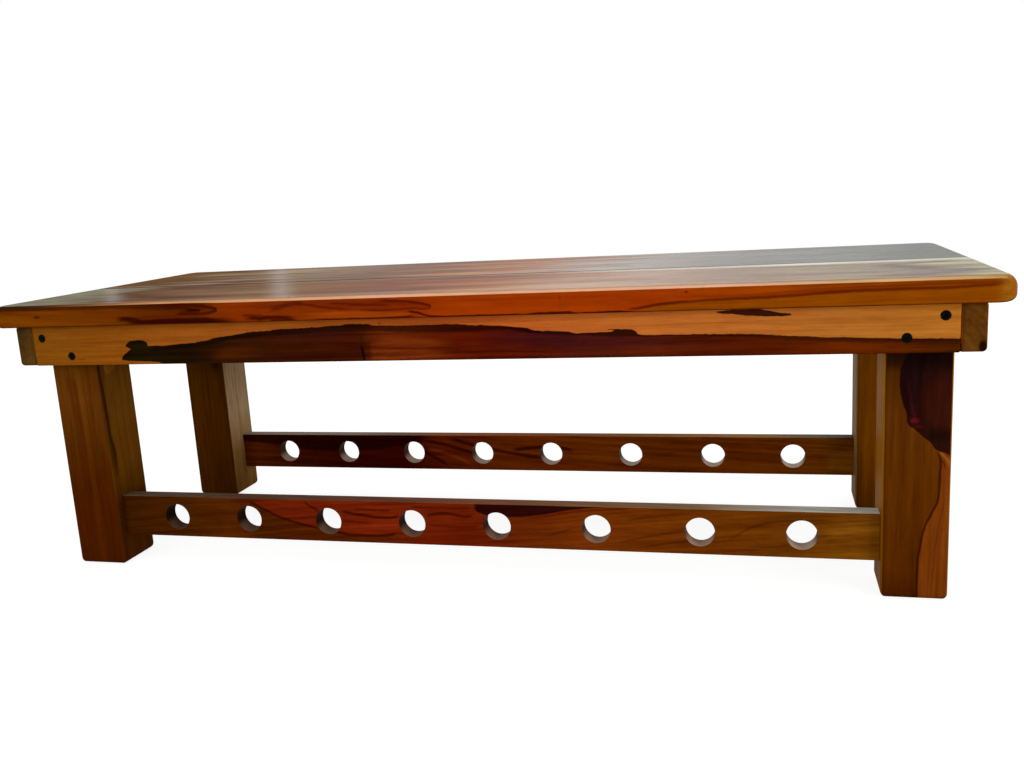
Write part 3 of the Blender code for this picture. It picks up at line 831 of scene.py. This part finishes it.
def front_right_leg_look():
    wood, front, side = leg_look(
        "front_right_leg_wood", 6.0, (0.40, -0.24),
        [
            (5, (68, 27, 0)), (30, (84, 39, 0)), (120, (90, 44, 2)), (180, (90, 46, 5)), (215, (74, 36, 1)),
            (240, (70, 31, 0)),
        ],
        [(5, (116, 68, 8)), (120, (156, 98, 12)), (240, (164, 104, 14))],
    )
    bright = [(0, 450), (36, 450), (53, 452), (73, 456), (88, 462), (105, 467), (135, 468), (148, 464)]
    front.area(None, bright, (118, 56, 10), 0.85, soft=0.8, run=(0, 10))
    front.mark(bright, 2.2, (50, 12, 2), 0.85, run=(0, 6))
    front.mark([(0, 462), (60, 466), (110, 474)], 1.2, (84, 36, 4), 0.5, run=(10, 20))
    patch = [
        (141, 478), (145, 473), (147, 468), (149, 464), (153.6, 461), (161.6, 452), (167, 447),
        (172.7, 440), (183, 438), (195.4, 434), (209.5, 432), (221.6, 432), (231, 435), (243, 441),
    ]
    front.area(None, patch, (36, 11, 8), 0.97, soft=0.7, run=(1, 0))
    front.area(
        None, [(156, 474), (170, 460), (190, 452), (210, 458), (226, 468)], (60, 19, 8), 0.5, soft=6,
        run=(14, 20),
    )
    front.area(
        [(180, 446), (215, 450), (240, 456)], [(180, 440), (195, 435), (210, 433), (222, 433), (240, 440)],
        (24, 8, 12), 0.7, soft=1.4, run=(16, 0),
    )
    # Painted shade across the top of the front, under the front apron
    front.area(None, [(218, 420), (244, 420)], (15, 6, 4), 0.75, run=(14, 0))
    front.mark([(168, 449), (190, 442), (220, 438)], 2.4, (60, 14, 14), 0.5, run=(8, 20))
    front.knot(176, 445, 2.6, 5.0, (104, 14, 28), 0.55)
    front.knot(170, 449, 1.6, 3.6, (84, 16, 20), 0.5)
    front.area(None, [(154, 460), (160, 456), (166, 458), (174, 466)], (20, 6, 3), 0.6, soft=4, run=(6, 10))
    front.mark([(126, 474), (134, 471), (142, 467)], 1.6, (60, 22, 4), 0.6, run=(8, 2))
    front.mark([(128, 477.5), (136, 475), (142, 471), (146, 467)], 3.2, (158, 88, 30), 0.6, run=(10, 1))
    front.mark(patch, 1.6, (22, 7, 3), 0.8, run=(6, 2))
    return joined_leg(wood, front, side, abs(wood.nx))


def rear_left_leg_look():
    # The front is painted darker towards the top, as shade under the seat and aprons, and the inner side is
    # painted pale, as lit from the right, and darker towards the foot
    wood, front, side = leg_look(
        "rear_left_leg_wood", 7.0, (-0.38, 0.05),
        [(5, (64, 31, 0)), (100, (71, 35, 0)), (170, (69, 36, 0)), (215, (50, 21, 0)), (240, (34, 10, 0))],
        [
            (5, (108, 72, 28)), (60, (136, 98, 52)), (120, (158, 130, 96)), (180, (148, 120, 90)),
            (240, (118, 98, 76)),
        ],
    )
    # A dark spot of painted shade near the top of the front
    front.knot(212, -430, 32, 9, (20, 6, 0), 0.8)
    return joined_leg(wood, front, side, wood.nx)


def rear_right_leg_look():
    wood, front, side = leg_look(
        "rear_right_leg_wood", 8.0, (0.39, 0.06),
        [(5, (78, 38, 0)), (80, (100, 54, 0)), (160, (106, 58, 2)), (240, (102, 56, 1))],
        [(5, (120, 84, 44)), (120, (150, 116, 74)), (240, (160, 128, 88))],
    )
    return joined_leg(wood, front, side, wood.nx * -1.0)


# Looks of the rails


def finished_rail(wood, face, tops, lit):
    """Adds the top of a rail, paler with a painted reflection, and the walls of its holes, dark with painted
    shade but for their floors, which are painted lit.
    """
    colour = face.done()
    rail_top = RAIL_Z + RAIL_HEIGHT / 2
    # The top of the rail gets paler tones, a painted reflection
    over = wood.smooth(wood.z, rail_top - 0.0015, rail_top - 0.0003) * wood.smooth(wood.nz, 0.75, 0.97)
    above = wood.tones(wood.x, tops)
    colour = wood.mix(over, colour, wood.shade(above, wood.figure * 0.5))
    # In the holes, painted shade darkens the walls and painted light lifts the floors
    near_hole = wood.fade(abs(wood.z - RAIL_Z), HOLE_RADIUS + 0.0010, HOLE_RADIUS + 0.0025)
    inside = wood.fade(abs(wood.ny), 0.45, 0.8) * near_hole
    floors = wood.tones(wood.x, lit)
    walls = wood.mix(
        wood.smooth(wood.nz, 0.15, 0.85), wood.times(floors, wood.join([0.12, 0.08, 0.05])), floors,
    )
    return wood.varnish(wood.mix(inside, colour, walls), 0.42)


def front_rail_look():
    wood = Wood(
        "front_rail_wood", "X", 9.0, pith=(-0.11, -0.02), lean=(0.01, 0.09), ring=0.0042, drift=0.008,
    )
    face = Face(
        wood, wood.x, wood.z,
        [
            (-418, (60, 26, 0)), (-340, (72, 32, 0)), (-280, (84, 37, 1)), (-245, (84, 30, 2)),
            (-215, (92, 28, 3)), (-110, (116, 35, 5)), (0, (106, 28, 4)), (60, (100, 36, 4)),
            (130, (110, 46, 5)), (250, (106, 50, 3)), (340, (100, 51, 4)), (418, (112, 64, 8)),
        ],
        0.8, ragged=0.8,
    )
    low = [
        (-254, 79), (-246, 75.3), (-233, 68.5), (-216, 60.7), (-197, 54.9), (-183, 51.5), (-152, 45.8),
        (-121, 41.4), (-84, 43), (-51, 46),
    ]
    face.area(None, low, (122, 33, 9), 0.5, soft=1.4, run=(4, 60))
    face.area(low, None, (72, 32, 0), 0.7, soft=1.4, run=(4, 50))
    for line, width, amount in (
        (low[:7], 2.8, 0.8), ([(-152, 46.9), (-140, 43.8), (-121, 42), (-98, 42.3), (-76, 45.8)], 3.2, 0.8),
        ([(-187, 81.4), (-180, 75.7), (-165, 67.5)], 3.0, 0.75),
        ([(-142, 69.7), (-128, 67.1), (-110, 64.8), (-91, 63.5), (-72, 65.8)], 3.2, 0.8),
        ([(-128, 73.5), (-109, 71.7), (-81, 71.3)], 2.4, 0.5),
        ([(-143, 59.2), (-120, 57.1), (-97, 56), (-78, 58.4)], 2.6, 0.4),
        ([(-44, 67.1), (-36, 68.6), (-22, 69.9), (3, 67.4), (12, 69.5)], 3.0, 0.75),
        ([(-43, 57.6), (-28, 55.8), (-5, 55.3), (17, 57.1)], 2.6, 0.4),
        ([(-60, 77), (-20, 76), (10, 77)], 2.6, 0.5),
    ):
        face.mark(line, width, (52, 8, 0), amount, run=(6, 6))
    face.area(
        [(-112, 58), (-84, 60), (-70, 57)], [(-112, 52), (-84, 50), (-70, 52)], (128, 40, 12), 0.6,
        soft=1.6, run=(10, 10),
    )
    face.area(
        None, [(10, 79), (20, 70.8), (40, 68), (62, 68.4), (84, 71.2), (128, 79), (157, 81.5)], (29, 3, 5),
        0.93, soft=0.9, run=(5, 10),
    )
    face.mark([(60, 66), (84, 69), (128, 76.8), (186, 81.4)], 2.6, (84, 12, 0), 0.7, run=(20, 20))
    face.mark([(70, 60), (120, 66), (170, 76)], 1.6, (76, 18, 0), 0.5, run=(20, 30))
    for line in (
        [(82, 44.7), (104, 53), (127, 60.5)], [(158, 41), (187, 49.4), (236, 59)],
        [(167, 66), (198, 72), (240, 76.5)], [(270, 47), (319, 70), (379, 74)],
        [(290, 44), (320, 44.6), (360, 56), (400, 60)], [(180, 38), (240, 48), (262, 50)],
    ):
        face.mark(line, 2.4, (70, 28, 0), 0.55, run=(18, 18))
    face.area(
        [(364, 66), (390, 71), (418, 74)], [(364, 54), (390, 60), (418, 64)], (122, 72, 14), 0.6, soft=2.0,
        run=(16, 0),
    )
    # Tones of the rail's top, a painted reflection that is palest at the right
    tops = [
        (-418, (112, 92, 70)), (-205, (112, 78, 60)), (-74, (137, 80, 54)), (38, (152, 94, 62)),
        (247, (166, 132, 94)), (344, (216, 214, 202)), (418, (220, 222, 216)),
    ]
    # Tones of the floors of the holes, painted light
    lit = [
        (-418, (76, 54, 38)), (-150, (122, 90, 70)), (0, (132, 98, 78)), (250, (184, 152, 130)),
        (418, (208, 188, 170)),
    ]
    return finished_rail(wood, face, tops, lit)


def rear_rail_look():
    wood = Wood("rear_rail_wood", "X", 10.0, pith=(0.18, 0.00), lean=(0.0, -0.06), ring=0.0042, drift=0.008)
    face = Face(
        wood, wood.x, wood.z,
        [
            (-418, (84, 34, 3)), (-340, (66, 18, 0)), (-260, (60, 10, 1)), (-170, (56, 6, 1)),
            (-120, (84, 24, 1)), (0, (104, 40, 2)), (100, (106, 46, 0)), (220, (92, 38, 0)),
            (330, (88, 38, 0)), (418, (92, 48, 0)),
        ],
        0.9, ragged=0.8,
    )
    face.area(
        None, [(-410, 71), (-388, 69), (-329, 62), (-283, 58), (-177, 66), (-133, 76)], (26, 2, 1), 0.85,
        soft=2.4, run=(0, 20),
    )
    for line in (
        [(-146, 76), (-105, 67), (-77, 58.7), (-62, 52)], [(-108, 78.3), (-34, 60.6), (30, 51)],
        [(-150, 62), (-121, 46.9), (-104, 37)], [(-20, 62), (30, 66), (70, 62)],
    ):
        face.mark(line, 5.0, (46, 5, 0), 0.85, run=(12, 14))
    face.mark([(-140, 64), (-113, 57), (-92, 50), (-72, 38)], 5.0, (124, 46, 6), 0.6, run=(10, 10))
    face.mark([(40, 42), (120, 39), (200, 38)], 2.0, (120, 34, 20), 0.6, run=(30, 40))
    face.area([(380, 60), (418, 66)], [(380, 40), (418, 38)], (130, 78, 14), 0.5, soft=3, run=(20, 0))
    # Tones of the rail's top, a painted reflection
    tops = [
        (-418, (150, 126, 108)), (-254, (160, 134, 118)), (-178, (128, 92, 68)), (-107, (160, 88, 30)),
        (34, (136, 70, 16)), (169, (156, 98, 40)), (295, (168, 120, 66)), (390, (100, 94, 78)),
        (418, (84, 80, 66)),
    ]
    # Tones of the floors of the holes, painted light
    lit = [(-418, (156, 128, 112)), (0, (182, 152, 136)), (418, (206, 184, 170))]
    return finished_rail(wood, face, tops, lit)


# Looks of the pieces under the seat, and of the screws


def softwood_look(name, grain, seed, pith, ground):
    wood = Wood(name, grain, seed, pith=pith, ring=0.004)
    face = Face(wood, wood.along, wood.z, ground, 0.4)
    return wood.varnish(face.done(), 0.62)


def cleat_look():
    ground = [(-480, (150, 104, 58)), (0, (162, 116, 66)), (480, (150, 104, 60))]
    return softwood_look("cleat_softwood", "X", 11.0, (0.02, 0.10), ground)


def cross_look():
    ground = [(-180, (154, 108, 60)), (180, (160, 114, 66))]
    return softwood_look("cross_softwood", "Y", 12.0, (0.10, 0.02), ground)


def steel_look():
    """Black oxide steel, a little rubbed."""
    steel = Net("black_screw_steel")
    rub = steel.noise((steel.x * 900.0, steel.y * 900.0, steel.z * 900.0), detail=3.0, roughness=0.6)
    colour = steel.mix(steel.smooth(rub, -0.05, 0.3), tone(3, 5, 4), tone(20, 25, 22))
    return steel.finish(colour, 0.45 + rub * 0.3, 1.08, rub, strength=0.2, depth=0.0001)


# Shapes


def inset_at(depth, radius):
    """How far a rounded edge draws in at a depth below the face that it rounds off to."""
    if depth >= radius:
        return 0.0
    return radius - math.sqrt(radius**2 - (radius - depth) ** 2)


def edge_depths(radius, steps=5):
    return [radius * (1 - math.cos(math.pi / 2 * step / steps)) for step in range(steps + 1)]


def rounded_rectangle(half_u, half_v, radius, steps=5):
    points = []
    for quarter, (side_u, side_v) in enumerate(((1, 1), (-1, 1), (-1, -1), (1, -1))):
        for step in range(steps + 1):
            turn = math.pi / 2 * (quarter + step / steps)
            across = side_u * (half_u - radius) + radius * math.cos(turn)
            points.append((across, side_v * (half_v - radius) + radius * math.sin(turn)))
    return points


def skin(bm, rings):
    """Joins rings of vertices, of which the last may be a single point, and caps the open ends."""
    count = len(rings[0])
    for lower, upper in zip(rings, rings[1:]):
        for i in range(count):
            j = (i + 1) % count
            far = (upper[0],) if len(upper) == 1 else (upper[j], upper[i])
            bm.faces.new((lower[i], lower[j], *far))
    bm.faces.new(reversed(rings[0]))
    if len(rings[-1]) > 1:
        bm.faces.new(rings[-1])


def loft(outlines):
    """A body through closed outlines of equal count."""
    bm = bmesh.new()
    skin(bm, [[bm.verts.new(point) for point in outline] for outline in outlines])
    return bm


def bar(axis, centre, size, edge, start=None, end=None, tight=0):
    """A straight bar along X, Y or Z with rounded edges, and radii of their own at its start and end.

    Where tight is -1 or 1, the edges on that side of the second direction across are a third as round.
    """
    along = "XYZ".index(axis)
    u, v = (along + 1) % 3, (along + 2) % 3
    length = size[along]
    start = edge if start is None else start
    end = edge if end is None else end
    places = [(depth, inset_at(depth, start)) for depth in edge_depths(start)]
    places += [(length - depth, inset_at(depth, end)) for depth in reversed(edge_depths(end))]
    outlines = []
    for place, inset in places:
        outline = []
        half_u, half_v = size[u] / 2 - inset, size[v] / 2 - inset
        radius = max(edge - inset, edge / 4)
        corners = rounded_rectangle(half_u, half_v, radius)
        for plain, sharp in zip(corners, rounded_rectangle(half_u, half_v, radius / 3)):
            point_u, point_v = sharp if plain[1] * tight > 0 else plain
            point = Vector(centre)
            point[along] += place - length / 2
            point[u] += point_u
            point[v] += point_v
            outline.append(point)
        outlines.append(outline)
    return loft(outlines)


def turned(bm, profile, start, direction, sides):
    """A body of revolution about a line, from points (distance along it, radius). Radius 0 is a tip."""
    turn = Vector((0, 0, 1)).rotation_difference(Vector(direction)).to_matrix().to_4x4()
    place = Matrix.Translation(Vector(start)) @ turn
    angles = [2 * math.pi * (i + 0.5) / sides for i in range(sides)]
    rings = []
    for along, radius in profile:
        points = [Vector((radius * math.cos(a), radius * math.sin(a), along)) for a in angles]
        if radius == 0:
            points = points[:1]
        rings.append([bm.verts.new(place @ point) for point in points])
    skin(bm, rings)


def add_mesh(name, bm, look=None):
    bmesh.ops.recalc_face_normals(bm, faces=bm.faces)
    mesh = bpy.data.meshes.new(name)
    bm.to_mesh(mesh)
    bm.free()
    mesh.shade_smooth()
    mesh.set_sharp_from_angle(angle=SHARP_ANGLE)
    if look is not None:
        mesh.materials.append(look)
    made = bpy.data.objects.new(name, mesh)
    bpy.context.scene.collection.objects.link(made)
    return made


def cut_with(target, bm):
    """Cuts a bmesh out of the target for good."""
    cutter = add_mesh(target.name + "_cutter", bm)
    boolean = target.modifiers.new("cut", "BOOLEAN")
    boolean.operation = "DIFFERENCE"
    boolean.solver = "EXACT"
    boolean.object = cutter
    depsgraph = bpy.context.evaluated_depsgraph_get()
    cut = bpy.data.meshes.new_from_object(target.evaluated_get(depsgraph))
    target.modifiers.clear()
    old = target.data
    target.data = cut
    cut.set_sharp_from_angle(angle=SHARP_ANGLE)
    bpy.data.meshes.remove(old)
    bpy.data.objects.remove(cutter)


def stand_for(piece, node):
    """The piece is seen in place of the CAD node, which it hides."""
    weighted = piece.modifiers.new("even_faces", "WEIGHTED_NORMAL")
    weighted.keep_sharp = True
    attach(piece, "root")
    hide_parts(node)


def board_corner(x, y, inset_x, inset_y, radius, steps):
    """Round corner of the left end of a seat board, from its end face to its long edge."""
    reach_x = max(radius - inset_x, radius / 4)
    reach_y = max(radius - inset_y, radius / 4)
    points = []
    for step in range(steps + 1):
        turn = math.pi / 2 * step / steps
        in_x = inset_x + reach_x * (1 - math.cos(turn))
        in_y = inset_y + reach_y * (1 - math.sin(turn))
        points.append((x * in_x, y * in_y))
    return points


def seat_board(node, outer_side, width, look):
    """A seat board with round ends and plan corners and an eased seam edge."""
    levels = []
    for face, away, radii in ((0, 1, SEAT_EDGES[0]), (SEAT_THICKNESS, -1, SEAT_EDGES[1])):
        depths = set()
        for radius, steps in zip(radii, SEAT_EDGE_STEPS):
            depths.update(edge_depths(radius, steps))
        for depth in depths:
            levels.append((face + away * depth, [inset_at(depth, radius) for radius in radii]))
    outlines = []
    for height, (end, long_edge, seam) in sorted(levels):
        seam_corner = board_corner(1, -1, end, seam, SEAM_CORNER_RADIUS, 4)
        outline = [(x, width + y) for x, y in reversed(seam_corner)]
        outline += board_corner(1, 1, end, long_edge, SEAT_CORNER_RADIUS, 14)
        outline += [(SEAT_LENGTH - x, y) for x, y in reversed(outline)]
        z = SEAT_BOTTOM + height
        outlines.append([(SEAT_LEFT_END + x, outer_side * (SEAT_HALF_WIDTH - y), z) for x, y in outline])
    stand_for(add_mesh(node + "_wood", loft(outlines), look), node)


def screw_places(side_sign):
    """Where the screws of a long apron go in."""
    places = []
    for end, pairs in ((-1, LEFT_SCREWS), (1, RIGHT_SCREWS)):
        for inward, below in pairs:
            at = (end * (LEG_OUTER_X - inward), side_sign * FRAME_WIDTH / 2, FRAME_TOP - below)
            places.append((at, (0, -side_sign, 0)))
    return places


def end_screw_places(end_sign):
    """Where the screws of an end apron go in."""
    places = []
    for side in (-1, 1):
        for inward, below in END_SCREWS:
            at = (end_sign * FRAME_LENGTH / 2, side * (LEG_OUTER_Y - inward), FRAME_TOP - below)
            places.append((at, (-end_sign, 0, 0)))
    return places


def apron(node, bm, places, look):
    """An apron, bored and countersunk for its screws."""
    piece = add_mesh(node + "_wood", bm, look)
    head, shank = SCREW_HEAD + BORE_CLEARANCE, SCREW_SHANK + BORE_CLEARANCE
    rim = head + COUNTERSINK_RIM
    cone_end = HEAD_RECESS + SCREW_CONE
    profile = ((-CUT_OVERRUN, rim), (0.0, rim), (HEAD_RECESS, head), (cone_end, shank), (BORE_DEPTH, shank))
    holes = bmesh.new()
    for point, direction in places:
        turned(holes, profile, point, direction, sides=32)
    cut_with(piece, holes)
    stand_for(piece, node)


def long_apron(node, sign, look):
    centre = (0, sign * (FRAME_WIDTH - APRON_THICKNESS) / 2, APRON_MIDDLE)
    size = (FRAME_LENGTH - 2 * (APRON_THICKNESS + FIT_GAP), APRON_THICKNESS, APRON_HEIGHT)
    apron(node, bar("X", centre, size, LONG_APRON_EDGE), screw_places(sign), look)


def end_apron(node, sign, look):
    centre = (sign * (FRAME_LENGTH - APRON_THICKNESS) / 2, 0, APRON_MIDDLE)
    size = (APRON_THICKNESS, FRAME_WIDTH, APRON_HEIGHT)
    apron(node, bar("Y", centre, size, END_APRON_EDGE, tight=-sign), end_screw_places(sign), look)


def leg(node, end, side, look):
    """A leg with a mortise for its rail and the bores of its screws."""
    centre = (end * (LEG_OUTER_X - LEG_SIZE / 2), side * (LEG_OUTER_Y - LEG_SIZE / 2), FRAME_TOP / 2)
    body = bar("Z", centre, (LEG_SIZE, LEG_SIZE, FRAME_TOP), LEG_EDGE, FOOT_EDGE, LEG_TOP_EDGE)
    piece = add_mesh(node + "_wood", body, look)
    middle = (end * (LEG_INNER_X + (MORTISE_DEPTH - CUT_OVERRUN) / 2), side * RAIL_Y, RAIL_Z)
    thickness, height = TENON["thickness"] + 2 * FIT_GAP, TENON["height"] + 2 * FIT_GAP
    cut_with(piece, bar("X", middle, (MORTISE_DEPTH + CUT_OVERRUN, thickness, height), TENON["edge"]))
    bores = bmesh.new()
    shank = SCREW_SHANK + FIT_GAP
    for point, direction in screw_places(side) + end_screw_places(end):
        if abs(point[0] - centre[0]) < LEG_SIZE and abs(point[1] - centre[1]) < LEG_SIZE:
            turned(bores, ((LEG_BORE_START, shank), (BORE_DEPTH, shank)), point, direction, sides=16)
    cut_with(piece, bores)
    stand_for(piece, node)


def rail(node, sign, look):
    """A lower rail with its tenons, and holes whose rims are rounded over."""
    half = RAIL_THICKNESS / 2
    tenon = (TENON["thickness"] / 2, TENON["height"] / 2, TENON["edge"])
    full = (half, RAIL_HEIGHT / 2, RAIL_EDGE)
    over = HALF_RAIL + TENON["length"]
    left = ((-over, tenon), (-HALF_RAIL, tenon), (-HALF_RAIL, full))
    outlines = []
    for x, section in (*left, *((-x, section) for x, section in reversed(left))):
        outlines.append([(x, sign * RAIL_Y + y, RAIL_Z + z) for y, z in rounded_rectangle(*section)])
    piece = add_mesh(node + "_wood", loft(outlines), look)
    profile = [(-half - CUT_OVERRUN, HOLE_RADIUS + HOLE_RIM)]
    for depth in edge_depths(HOLE_RIM, 4):
        profile.append((-half + depth, HOLE_RADIUS + inset_at(depth, HOLE_RIM)))
    profile += [(-along, radius) for along, radius in reversed(profile)]
    holes = bmesh.new()
    for share in HOLE_SHARES:
        turned(holes, profile, (share * LEG_INNER_X, sign * RAIL_Y, RAIL_Z), (0, 1, 0), sides=64)
    cut_with(piece, holes)
    stand_for(piece, node)


def cut_cross(piece, point, inward):
    """Cuts the cross recess into a screw's head, at a turn of its own."""
    upward = Vector((0, 0, 1))
    sideways = inward.cross(upward)
    for blade in range(2):
        turn = 0.5 + 2.1 * abs(point[0]) + blade * math.pi / 2
        long = upward * math.cos(turn) + sideways * math.sin(turn)
        across = inward.cross(long)
        levels = ((-CROSS_OVERRUN, CROSS_MOUTH), (HEAD_RECESS + CROSS_DEPTH, CROSS_BOTTOM))
        outlines = []
        for depth, (reach, half) in levels:
            centre = Vector(point) + inward * depth
            corners = ((1, 1), (-1, 1), (-1, -1), (1, -1))
            outlines.append([centre + long * (a * reach) + across * (b * half) for a, b in corners])
        cut_with(piece, loft(outlines))


def screw(node, point, direction, look):
    """A countersunk screw with a cross recess in its head and a thread along its shank."""
    head_end = HEAD_RECESS + SCREW_CONE
    tip = HEAD_RECESS + SCREW_LENGTH
    core = SCREW_SHANK * THREAD_CORE_SHARE
    profile = [(HEAD_RECESS, SCREW_HEAD - SCREW_HEAD_EDGE), (HEAD_RECESS + SCREW_HEAD_EDGE, SCREW_HEAD)]
    profile.append((head_end, SCREW_SHANK * SCREW_NECK_SHARE))
    along = head_end + THREAD_START
    while along < tip - THREAD_STOP:
        rise, fall = THREAD_FLANKS
        profile += [(along, core), (along + rise, SCREW_SHANK), (along + fall, core)]
        along += THREAD_PITCH
    profile += [(tip - SCREW_POINT, SCREW_SHANK * SCREW_POINT_SHARE), (tip, 0)]
    bm = bmesh.new()
    turned(bm, profile, point, direction, sides=32)
    piece = add_mesh(node + "_steel", bm, look)
    cut_cross(piece, point, Vector(direction))
    stand_for(piece, node)


def dress_cad_nodes(names, look):
    """Gives CAD nodes that keep their own shape a full material."""
    for name in names:
        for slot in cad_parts[name].material_slots:
            slot.material = look


def build_bench():
    seat_board("front_seat_board", -1, SEAT_HALF_WIDTH + SEAM_FRONT, front_seat_look())
    seat_board("rear_seat_board", 1, SEAT_HALF_WIDTH - SEAM_REAR, rear_seat_look())
    long_apron("front_apron", -1, front_apron_look())
    long_apron("rear_apron", 1, rear_apron_look())
    end_apron("left_end_apron", -1, left_end_apron_look())
    end_apron("right_end_apron", 1, right_end_apron_look())
    leg("front_left_leg", -1, -1, front_left_leg_look())
    leg("front_right_leg", 1, -1, front_right_leg_look())
    leg("rear_left_leg", -1, 1, rear_left_leg_look())
    leg("rear_right_leg", 1, 1, rear_right_leg_look())
    rail("front_rail", -1, front_rail_look())
    rail("rear_rail", 1, rear_rail_look())
    steel = steel_look()
    for signs, find_places in ((SIDES, screw_places), (ENDS, end_screw_places)):
        for side, sign in signs.items():
            for number, (point, direction) in enumerate(find_places(sign), start=1):
                screw(f"{side}_apron_screw_{number}", point, direction, steel)
    dress_cad_nodes([f"seat_screw_{number}" for number in range(1, SEAT_SCREWS + 1)], steel)
    dress_cad_nodes([f"cleat_screw_{number}" for number in range(1, CLEAT_SCREWS + 1)], steel)
    dress_cad_nodes(["front_cleat", "rear_cleat"], cleat_look())
    dress_cad_nodes(["left_end_cleat", "right_end_cleat", "cross_batten"], cross_look())


# Light, floor and camera

FLOOR_REACH = 7.0
FLOOR_DROP = 0.0003
CAMERA_LENS = 34.254
CAMERA_PLACE = (0.30943, -1.09384, 0.40647)
# Tilt up from looking straight down, roll and turn, in degrees
CAMERA_ANGLES = (78.6556, 3.3326, 14.0402)


def white_backdrop(tree, lit, white):
    """A shader that is white to the camera, mirrors and glass, and lit to every other ray."""
    rays = tree.node("ShaderNodeLightPath").outputs
    seen = rays["Is Camera Ray"]
    for kind in ("Is Glossy Ray", "Is Transmission Ray"):
        seen = tree.node("ShaderNodeMath", seen, rays[kind], operation="MAXIMUM").outputs[0]
    return tree.node("ShaderNodeMixShader", seen, lit, white).outputs[0]


def make_floor():
    """A pale floor that shows white but keeps the bench's soft shadow."""
    look = bpy.data.materials.new("pale_floor")
    tree = Tree(look)
    tree.nodes.clear()
    matt = tree.node("ShaderNodeBsdfDiffuse", (0.62, 0.62, 0.61)).outputs[0]
    shaded = tree.node("ShaderNodeBsdfDiffuse", (0.34, 0.34, 0.34)).outputs[0]
    white = tree.node("ShaderNodeEmission", (1.0, 1.0, 1.0), 0.86).outputs[0]
    lifted = tree.node("ShaderNodeAddShader", white, shaded).outputs[0]
    tree.node("ShaderNodeOutputMaterial", white_backdrop(tree, matt, lifted))
    bm = bmesh.new()
    bmesh.ops.create_grid(bm, x_segments=2, y_segments=2, size=FLOOR_REACH)
    floor = add_mesh("studio_floor", bm, look)
    floor.location.z = -FLOOR_DROP


def make_world():
    world = bpy.data.worlds.new("studio")
    bpy.context.scene.world = world
    tree = Tree(world)
    tree.nodes.clear()
    soft = tree.node("ShaderNodeBackground", (1.0, 0.99, 0.97), 0.42).outputs[0]
    white = tree.node("ShaderNodeEmission", (1.0, 1.0, 1.0), 1.0).outputs[0]
    tree.node("ShaderNodeOutputWorld", white_backdrop(tree, soft, white))


def add_lamp(name, place, target, size, power, colour):
    data = bpy.data.lights.new(name, "AREA")
    data.shape = "RECTANGLE"
    data.size, data.size_y = size
    data.energy = power
    data.color = colour
    lamp = bpy.data.objects.new(name, data)
    lamp.location = place
    lamp.rotation_euler = (Vector(target) - Vector(place)).to_track_quat("-Z", "Y").to_euler()
    lamp.visible_camera = False
    bpy.context.scene.collection.objects.link(lamp)


def make_camera():
    """Stands where the photograph was taken from, measured from the bench's edges."""
    data = bpy.data.cameras.new("camera")
    data.sensor_width = 36.0
    data.lens = CAMERA_LENS
    camera = bpy.data.objects.new("camera", data)
    camera.location = CAMERA_PLACE
    camera.rotation_euler = [math.radians(angle) for angle in CAMERA_ANGLES]
    bpy.context.scene.collection.objects.link(camera)
    bpy.context.scene.camera = camera


build_bench()
make_floor()
make_world()
add_lamp("front_lamp", (-1.3, -2.9, 1.0), (0.0, 0.0, 0.2), (2.6, 1.4), 40.0, (1.0, 0.97, 0.93))
add_lamp("right_lamp", (2.4, -1.6, 0.42), (-0.2, 0.0, 0.15), (1.2, 0.7), 34.0, (1.0, 0.96, 0.90))
add_lamp("window_lamp", (0.2, 2.6, 1.5), (0.0, 0.0, 0.25), (3.4, 1.4), 32.0, (0.80, 0.94, 1.0))
make_camera()
bpy.context.scene.view_settings.view_transform = "Standard"
